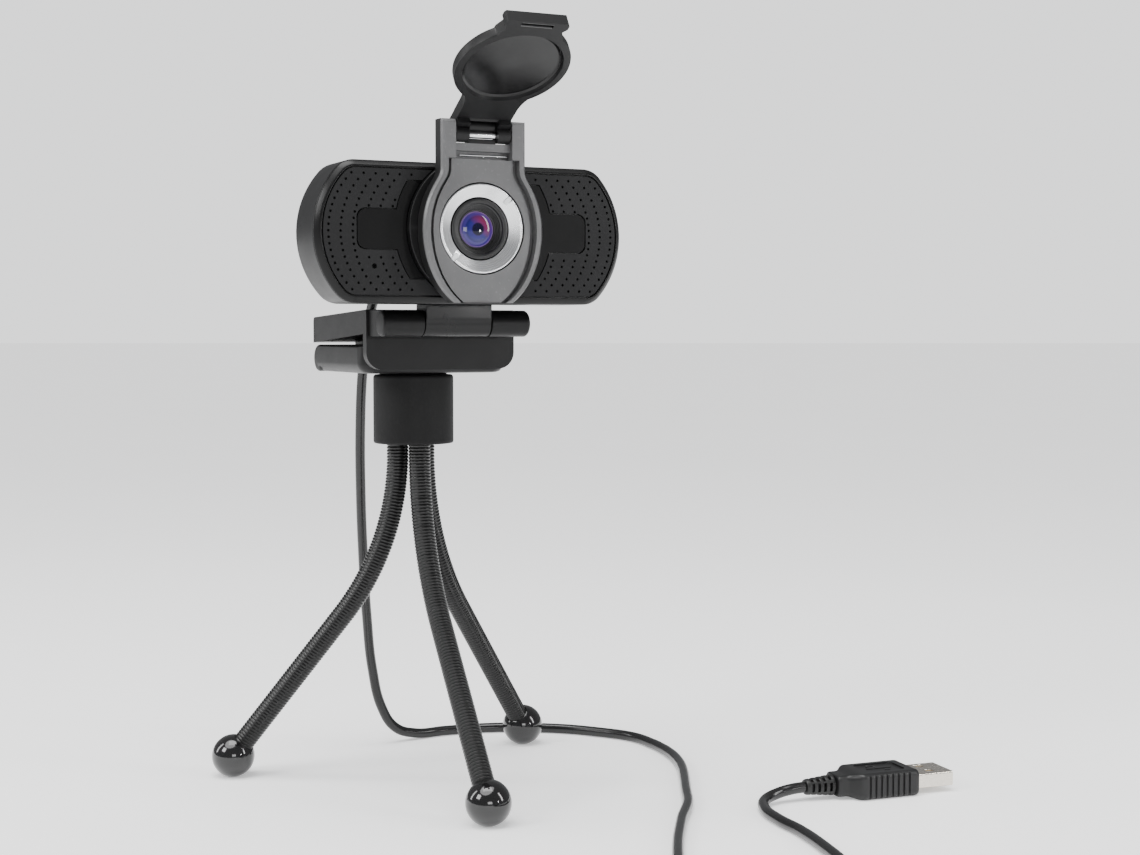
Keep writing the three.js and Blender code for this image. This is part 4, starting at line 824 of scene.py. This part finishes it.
done(retainer, "camera", [], OPTIC)


# ---- privacy frame

FRAME_LOW = -20.8
FRAME_HIGH = 30.0
FRAME_BULGE = 18.1
POST_HALF = 12.7
POST_BLEND = 1.6


def frame_half(z):
    """Half the frame's width at a height: a rounded body that runs into straight posts."""
    reach = 21 if z > -0.5 else 23.3
    bulge = FRAME_BULGE * math.sqrt(max(0, 1 - ((z + 0.5) / reach) ** 2))
    if z < 0:
        return bulge
    return POST_HALF + math.log(1 + math.exp((bulge - POST_HALF) * POST_BLEND)) / POST_BLEND


def frame_outline(inset, low, high, steps=72):
    right = []
    for i in range(steps + 1):
        z = high + (low - high) * i / steps
        right.append((frame_half(z) - inset, z))
    return right + [(-x, z) for x, z in reversed(right)]


def frame_ring(inset, y):
    return [(x, y, z) for x, z in frame_outline(inset, FRAME_LOW + inset, FRAME_HIGH - inset)]


FRAME_DEPTH = 7.2
SLOT_HALF = 8.5
SLOT_FLOOR = 23.6
keyhole = skin("keyhole_frame", [frame_ring(0.05, -2.1), frame_ring(0, -2.2), frame_ring(0, -6.25),
                                 frame_ring(0.08, -6.5), frame_ring(0.6, -7.08), frame_ring(0.8, -7.18),
                                 frame_ring(1.0, -FRAME_DEPTH)], LENS)
cut(keyhole, slab("sight", frame_outline(2.0, -22, 19.2), -9, -5.6, "front", LENS))
groove = slab("groove", frame_outline(2.0, -22, 19.2), -9, -4.1, "front", LENS)
cut(groove, slab("island", frame_outline(3.4, -25, 20), -10, -3, "front", LENS))
cut(keyhole, groove)
cut(keyhole, block("slot", -SLOT_HALF, SLOT_HALF, -9, 0, SLOT_FLOOR, 31, LENS))
cut(keyhole, block("line", -SLOT_HALF, SLOT_HALF, -9, -3.4, 19.2, 21.4, LENS))
cut(keyhole, block("bar", -SLOT_HALF, SLOT_HALF, -9, -5.6, 21, 24.4, LENS))
cut(keyhole, rod("ring_hole", 12.9, -10, 0, "Y", LENS, 120))
cut(keyhole, rod("pin_hole", 1.3, -11.5, 11.5, "X", LID_PIN, 32))
done(keyhole, "camera", ["privacy_frame"], FRAME_FACE, edge=0.14, segments=2)
sides = skin("frame_sides", [frame_ring(-0.02, -2.2), frame_ring(-0.02, -5.9), frame_ring(0.1, -5.9),
                             frame_ring(0.1, -2.2)], LENS, closed=True)
cut(sides, block("sides_slot", -SLOT_HALF, SLOT_HALF, -9, 0, SLOT_FLOOR, 31, LENS))
done(sides, "camera", [], HOUSING)
bright_line = slab("slot_line", rounded(-4.6, -4.1, 20.1, 20.5, 0.18, steps=4), -6.4, 8.2, "side", LENS)
done(bright_line, "camera", [], STEEL)
pin = wire("hinge_wire", 1, 11.2, 0.15, LID_PIN, 48)
done(pin, "camera", ["lid_pin"], STEEL)
web = block("hinge_web", -4.1, 4.1, -5.7, -2.4, 23.5, 24.85, LENS)
done(web, "camera", [], LID_FACE, edge=0.2, segments=2)
rest_bar = turned("hinge_bar", [(0, -4.15), (1.2, -4.15), (1.5, -3.8), (1.5, 3.8), (1.2, 4.15), (0, 4.15)],
                  "X", LID_PIN @ moved(0, 0.6, 2.3), 48)
done(rest_bar, "camera", [], HOUSING)

# ---- privacy lid, made closed and then opened

INNER = FACE_Y - LID_PIN.translation.y - FRAME_DEPTH - GAP
OUTER = INNER - 3.2
NECK_HALF = 8.2
disc_profile = [(0, INNER), (15.75, INNER), (16.0, INNER - 0.12), (16.1, INNER - 0.4), (16.1, OUTER + 0.9),
                (15.95, OUTER + 0.4), (15.6, OUTER + 0.08), (15.2, OUTER), (0, OUTER)]
DISC = moved(0, 0, -26.5)
lid = turned("lid_plate", disc_profile, "Y", DISC, 144)
neck_outline = [(NECK_HALF, -3.2), (NECK_HALF, -8.2)]
neck_outline += [(NECK_HALF + 3.6 * (i / 10) ** 2.2, -8.2 - 0.9 * i) for i in range(1, 11)]
neck_outline += [(-x, z) for x, z in reversed(neck_outline)]
tab_outline = [(8.6, -46), (9.05, -45.3), (9.05, -43.9), (8.0, -42.6), (9.4, -39.9), (9.6, -36)]
tab_outline += [(-x, z) for x, z in reversed(tab_outline)]
join(lid, slab("neck", neck_outline, OUTER, INNER, "front"))
join(lid, slab("tab", tab_outline, OUTER, INNER, "front"))
saddle_side = arc(0, 0, 5.0, 172, 238, 16) + list(reversed(arc(0, 0, 4.1, 172, 238, 16)))
join(lid, slab("saddle", saddle_side, -4.5, 4.5, "side"))
recess = turned("recess", [(0, INNER + 1), (14.0, INNER + 1), (14.0, INNER), (13.6, INNER - 1.1),
                           (13.3, INNER - 1.4), (0, INNER - 1.4)], "Y", DISC, 144)
cut(lid, recess)
cut(lid, block("tab_slot", -4.6, 4.6, INNER - 0.7, INNER + 1, -45.2, -44.0))
for side in (-1, 1):
    middle = side * (NECK_HALF - 1.95)
    join(lid, rod("knuckle", 2.2, middle - 1.95, middle + 1.95, "X", sides=48))
    join(lid, block("bracket", middle - 1.9, middle + 1.9, OUTER + 0.05, -1, -4, 1.8))
cut(lid, rod("wire_room", 1.25, -20, 20, "X", sides=40))
lid.data.transform(Matrix.Translation(LID.translation * MM) @ LID.to_3x3().to_4x4())
done(lid, "lid", ["privacy_lid"], LID_FACE, edge=0.3, segments=3)
dish = turned("lid_dish", [(0, INNER - 1.5), (13.2, INNER - 1.5), (13.3, INNER - 1.38),
                           (13.62, INNER - 1.0), (13.5, INNER - 1.08), (13.15, INNER - 1.26),
                           (12.7, INNER - 1.3), (0, INNER - 1.3)], "Y", LID @ DISC, 144)
done(dish, "lid", [], DISH)
# lighter strips at the two edges of the grip slot: painted highlights of the ridge's edges
for i, z in enumerate((-45.25, -43.95)):
    highlight_strip_section = rounded(INNER - 0.5, INNER + 0.02, z - 0.11, z + 0.11, 0.1, steps=3)
    line = slab(f"lid_highlight_strip_{i + 1}", highlight_strip_section, -4.5, 4.5, "side", LID)
    done(line, "lid", [], FRAME_FACE)

# ---- neck and clip

FRONT = CLIP @ moved(0, -33.5, 15.1)
REAR = CLIP @ moved(0, 23.5, 4.5)
CLIP_HALF = 23.5
FRONT_RADIUS = 3.9
REAR_RADIUS = 4.2
BORE_RADIUS = 1.5


def barrel_profile(radius, low, high, corner):
    """Profile of a barrel along X with rounded ends."""
    start = arc(radius - corner, low + corner, corner, -90, 0, 5)
    end = arc(radius - corner, high - corner, corner, 0, 90, 5)
    return [(0, low)] + start + end + [(0, high)]


neck_side = arc(0, 0, FRONT_RADIUS, 180, 360, 40) + [(3.95, 0.5), (4.08, 1.0), (4.15, 1.6), (4.15, 5.65)]
neck_side += [(-4.15, 5.65), (-4.15, 1.6), (-4.08, 1.0), (-3.95, 0.5)]
neck = slab("neck", neck_side, -10.25, 10.25, "side", FRONT)
cut(neck, rod("bore", BORE_RADIUS, -20, 20, "X", FRONT, 32))
done(neck, "camera", ["neck_bracket"], NECK_GRAIN, edge=0.35, segments=3)

LIP_FRONT = -23.5
ARM_TOP = 19.2
top_back = ARM_TOP - 1.9
plate_side = [(LIP_FRONT + 0.5, ARM_TOP), (25.3, top_back), (26.2, top_back - 0.35), (26.5, top_back - 1.2),
              (26.5, top_back - 8), (LIP_FRONT + 0.5, ARM_TOP - 7)]
arm = slab("bridge", plate_side, -CLIP_HALF, CLIP_HALF, "side", CLIP)
lip_outline = rounded(-CLIP_HALF, CLIP_HALF, 1.6, ARM_TOP, 5, 0.8, steps=12)
lip_rings = [[(u, y, v) for u, v in lip_outline] for y in (LIP_FRONT, LIP_FRONT + 3)]
join(arm, skin("lip", lip_rings, CLIP))
join(arm, block("ears", -22.7, 22.7, -33.5, LIP_FRONT + 1, 11.4, 18.9, CLIP))
join(arm, turned("front_barrel", barrel_profile(FRONT_RADIUS, -23, 23, 1.1), "X", FRONT, 96))
join(arm, turned("rear_knuckle", barrel_profile(REAR_RADIUS, -9.7, 9.7, 0.4), "X", REAR, 96),
     block("web", -9.65, 9.65, 19.3, 26.45, 4.5, top_back - 4, CLIP))
cut(arm, block("notch", -10.6, 10.6, -43, -26.5, 5, 25, CLIP))
cut(arm, rod("front_bore", BORE_RADIUS, -21.8, 21.8, "X", FRONT, 32),
    rod("rear_bore", BORE_RADIUS, -30, 30, "X", REAR, 32))
done(arm, "clip_bridge", ["clip_arm"], CLIP_GRAIN, edge=0.4, segments=3)
front_pin = wire("front_wire", 1.2, 21.5, 0.1, FRONT, 40)
done(front_pin, "clip_bridge", ["front_hinge_pin"], STEEL)


def foot_ring(inset, z):
    half = CLIP_HALF - inset
    outline = rounded(-half, half, inset - 20, 23.5, 5 - min(inset, 2), 0.4, steps=12)
    return [(x, y, z) for x, y in outline]


foot_levels = [(3.3, 0.3), (2.4, 0.38), (1.4, 0.75), (0.55, 1.7), (0.15, 2.5), (0, 3.3), (0, 7.9),
               (0.12, 8.18), (0.4, 8.3)]
foot = skin("foot_plate", [foot_ring(inset, z) for inset, z in foot_levels], CLIP)
join(foot, turned("foot_barrel", barrel_profile(REAR_RADIUS, -23.2, 23.2, 1.0), "X", REAR, 96))
cut(foot, block("knuckle_room", -10, 10, 18.3, 32.5, -2, 20, CLIP),
    rod("rear_bore", BORE_RADIUS, -22.3, 22.3, "X", REAR, 32))
pad_room = rounded(-21.2, 21.2, -17.7, 17.6, 3, 1, steps=8)
cut(foot, slab("pad_room", pad_room, 7.1, 10, "up", CLIP), rod("insert_room", 4.7, -1, 6.2, "Z", CLIP, 48))
done(foot, "clip_base", ["clip_foot"], CLIP_GRAIN, edge=0.22, segments=2)
pad = slab("grip", rounded(-20.9, 20.9, -17.4, 17.3, 3, 1, steps=8), 7.4, 8.6, "up", CLIP)
done(pad, "clip_base", ["grip_pad"], PAD, edge=0.25, segments=3)
rear_pin = wire("rear_wire", 1.2, 22, 0.1, REAR, 40)
done(rear_pin, "clip_base", ["rear_hinge_pin"], STEEL)
nut = [(4.4, 0.35), (4.4, 5.8), (3.5, 5.9)]
for i in range(6):
    nut += [(3.45, 5.5 - i * 0.9), (3.75, 5.05 - i * 0.9)]
insert_nut = turned("thread_insert", nut + [(3.5, 0.3)], "Z", CLIP, 48, closed=True)
done(insert_nut, "clip_base", ["threaded_insert"], BRASS)

# ---- tripod

sleeve_profile = [(10.75, -21.6), (11.7, -21.6), (12.1, -21.5), (12.3, -21.2), (12.35, -20.8),
                  (12.35, -1.6), (12.3, -1.1), (12.1, -0.7), (11.8, -0.45), (11.2, -0.4), (10.75, -0.4)]
sleeve = turned("soft_sleeve", sleeve_profile, "Z", CLIP, 96, closed=True)
done(sleeve, "tripod", ["hub_sleeve"], SLEEVE)
plate_profile = [(3.5, -1.2), (10.4, -1.2), (10.45, -0.3), (10.2, -0.08), (9.8, 0), (9.0, 0), (8.9, -0.15),
                 (8.3, -0.15), (8.2, 0), (7.0, 0), (6.9, -0.15), (6.3, -0.15), (6.2, 0), (3.5, 0)]
top_plate = turned("screw_plate", plate_profile, "Z", CLIP, 96, closed=True)
done(top_plate, "tripod", ["hub_cap"], SLEEVE)
core_profile = [(0, -21.55), (10.1, -21.55), (10.4, -21.3), (10.45, -21), (10.45, -1.5), (0, -1.5)]
core = turned("socket_core", core_profile, "Z", CLIP, 72)
LEG_TURNS = {"front": -90, "right": 30, "left": 150}
LEG_RADIUS = 3.4
CAP_RADIUS = 3.3
LEG_SLOPE_DEG = 38
LEG_START = 5
HUB_BOTTOM = -21.6
BALL_RADIUS = 6.7
BALL_FLAT = 2
FOOT_LEVEL = -6.38
FOOT_REACH = 57.8
RIDGE_DEPTH = 0.26
TUBE_SIDES = 28
cut(core, *[rod("socket", 3.8, -23, -17.7, "Z", CLIP @ rotated(d, "Z")
                @ moved(LEG_START, 0, 0), 40) for d in LEG_TURNS.values()])
done(core, "tripod", ["hub_core"], NECK_GRAIN, edge=0.15, segments=2)
stud_profile = [(0, -4.5), (3.0, -4.5)]
for i in range(7):
    stud_profile += [(3.12, -1.3 + i * 0.95), (2.75, -0.85 + i * 0.95)]
stud_profile += [(2.6, 5.3), (2.3, 5.5), (0, 5.5)]
stud = turned("captive_screw", stud_profile, "Z", CLIP, 48)
done(stud, "tripod", ["tripod_stud"], STEEL)


def leg_line():
    """Middle line of a gooseneck in its own upright plane, from the hub's top plane downwards."""
    slope = math.radians(LEG_SLOPE_DEG)
    foot = math.sqrt(BALL_RADIUS ** 2 - BALL_FLAT ** 2) - CLIP_TOP
    bend_top = HUB_BOTTOM - 3
    gain = math.sin(slope) * math.tan(slope) - 1 + math.cos(slope)
    bend = ((bend_top - foot) * math.tan(slope) - (FOOT_REACH - LEG_START)) / gain
    spots = [Vector((LEG_START, 0, HUB_BOTTOM)), Vector((LEG_START, 0, bend_top))]
    for i in range(1, 25):
        a = slope * i / 24
        spots.append(Vector((LEG_START + bend * (1 - math.cos(a)), 0, bend_top - bend * math.sin(a))))
    return spots, Vector((FOOT_REACH, 0, foot))


def walk(spots, step):
    """Points a fixed step apart along a line of points, with the direction at each."""
    line, carried = [], 0.0
    for a, b in zip(spots, spots[1:]):
        length = (b - a).length
        while carried <= length:
            line.append((a.lerp(b, carried / length), (b - a).normalized()))
            carried += step
        carried -= length
    return line


leg_spots, leg_end = leg_line()
last = leg_spots[-1]
leg_spots.append(last + (leg_end - last) * (1 - 1.5 / (leg_end - last).length))
RING_STEP = 1.0
SAMPLES = 6
AROUND = [2 * math.pi * k / TUBE_SIDES for k in range(TUBE_SIDES)]
for word, degrees in LEG_TURNS.items():
    at = CLIP @ rotated(degrees, "Z")
    rings = []
    for i, (spot, heading) in enumerate(walk(leg_spots, RING_STEP / SAMPLES)):
        phase = (i % SAMPLES) / SAMPLES
        radius = LEG_RADIUS - RIDGE_DEPTH * abs(math.cos(math.pi * phase)) ** 3
        across = Vector((0, 1, 0))
        outward = across.cross(heading).normalized()
        rings.append([spot + outward * (radius * math.cos(b)) + across * (radius * math.sin(b))
                      for b in AROUND])
    cap_rings = []
    for i in range(1, 6):
        a = math.pi / 2 * i / 6
        reach, rise = CAP_RADIUS * math.sin(a), HUB_BOTTOM + CAP_RADIUS * math.cos(a)
        cap_rings.append([Vector((LEG_START + reach * math.cos(b), reach * math.sin(b), rise))
                          for b in AROUND])
    cap_rings.append([Vector((p.x, p.y, HUB_BOTTOM - 0.8)) for p in cap_rings[-1]])
    tube = skin(f"gooseneck_tube_{word}", rings, at)
    cap = skin(f"gooseneck_cap_{word}", cap_rings, at)
    tube_piece = merged(f"gooseneck_leg_{word}", [tube, cap])
    done(tube_piece, f"leg_{word}", [f"gooseneck_{word}"], GOOSENECK)

    ball_profile = [(0, BALL_RADIUS)]
    for i in range(1, 40):
        a = math.radians(180 * i / 40)
        r, h = BALL_RADIUS * math.sin(a), BALL_RADIUS * math.cos(a)
        if h < FOOT_LEVEL:
            break
        ball_profile.append((r, h))
    ball_profile += [(2.15, -6.36), (2.0, -6.395), (0, -6.395)]
    ball = turned(f"ball_{word}", ball_profile, "Z", at @ Matrix.Translation(leg_end), 72)
    toward_leg = (last - leg_end).normalized()
    turn = Vector((0, 0, 1)).rotation_difference(toward_leg).to_matrix().to_4x4()
    cut(ball, rod("leg_room", 3.6, 0.5, 12, "Z", at @ Matrix.Translation(leg_end) @ turn, 40))
    done(ball, f"leg_{word}", [f"ball_foot_{word}"], BALL, edge=0.12, segments=2)

# ---- CAD pieces that stay as they are

KEPT = {
    "infrared_filter": GLASS, "middle_lens": GLASS, "rear_lens": GLASS, "aperture_stop": OPTIC,
    "lens_holder": OPTIC, "image_sensor": CHIP, "video_processor": CHIP, "main_board": BOARD,
    "lead_connector": CLEAR, "microphone": OPTIC, "microphone_boot": PAD, "neck_screw_left": STEEL,
    "neck_screw_right": STEEL,
}
for name, material in KEPT.items():
    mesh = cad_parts[name].data
    mesh.materials.clear()
    mesh.materials.append(material)

# ---- floor and light

floor_material, tree, shader = new_material("floor_pale")
tree.links.new(ramp(tree, noise(tree, place(tree), 3, 2),
                    [(0.3, (0.88, 0.88, 0.88)), (0.7, (0.9, 0.9, 0.9))]),
               shader.inputs["Base Color"])
put(shader, {"Roughness": 0.6, "Emission Color": (0.97, 0.975, 0.98, 1), "Emission Strength": 0.42})
WIDE = 30000
floor = make("floor", [(-WIDE, -WIDE, -0.02), (WIDE, -WIDE, -0.02), (WIDE, WIDE, -0.02),
                       (-WIDE, WIDE, -0.02)], [(0, 1, 2, 3)])
floor.data.materials.append(floor_material)

world = bpy.data.worlds.new("studio")
bpy.context.scene.world = world
world.use_nodes = True
tree = world.node_tree
sky = tree.nodes["Background"]
put(sky, {"Color": (0.93, 0.94, 0.96, 1), "Strength": 0.34})
backdrop = tree.nodes.new("ShaderNodeBackground")
put(backdrop, {"Color": (0.93, 0.935, 0.94, 1), "Strength": 1.7})
seen = tree.nodes.new("ShaderNodeLightPath")
choice = tree.nodes.new("ShaderNodeMixShader")
tree.links.new(seen.outputs["Is Camera Ray"], choice.inputs[0])
tree.links.new(sky.outputs[0], choice.inputs[1])
tree.links.new(backdrop.outputs[0], choice.inputs[2])
tree.links.new(choice.outputs[0], tree.nodes["World Output"].inputs["Surface"])


def softbox(name, right, toward, height, width, tall, power, target=(0, 0, 130)):
    data = bpy.data.lights.new(name, "AREA")
    data.shape = "RECTANGLE"
    data.size = width * MM
    data.size_y = tall * MM
    data.energy = power
    light = placed(name, data)
    light.location = view_point(right, toward, height)
    light.rotation_euler = (view_point(*target) - light.location).to_track_quat("-Z", "Y").to_euler()


overhead = bpy.data.lights.new("overhead", "SUN")
overhead.energy = 3.0
overhead.angle = math.radians(50)
overhead_lamp = placed("overhead", overhead)
overhead_lamp.rotation_euler = (math.radians(8), math.radians(-14), 0)
softbox("key", -760, 520, 640, 360, 360, 6)
softbox("strip_left", -620, -60, 340, 90, 460, 1.4)
softbox("strip_right", 640, 160, 380, 90, 460, 2.0)
softbox("top", 0, 80, 900, 700, 420, 4)
softbox("glint", 552, 431, 175, 30, 30, 0.4)
softbox("front_low", 160, 820, 200, 300, 160, 1.2)
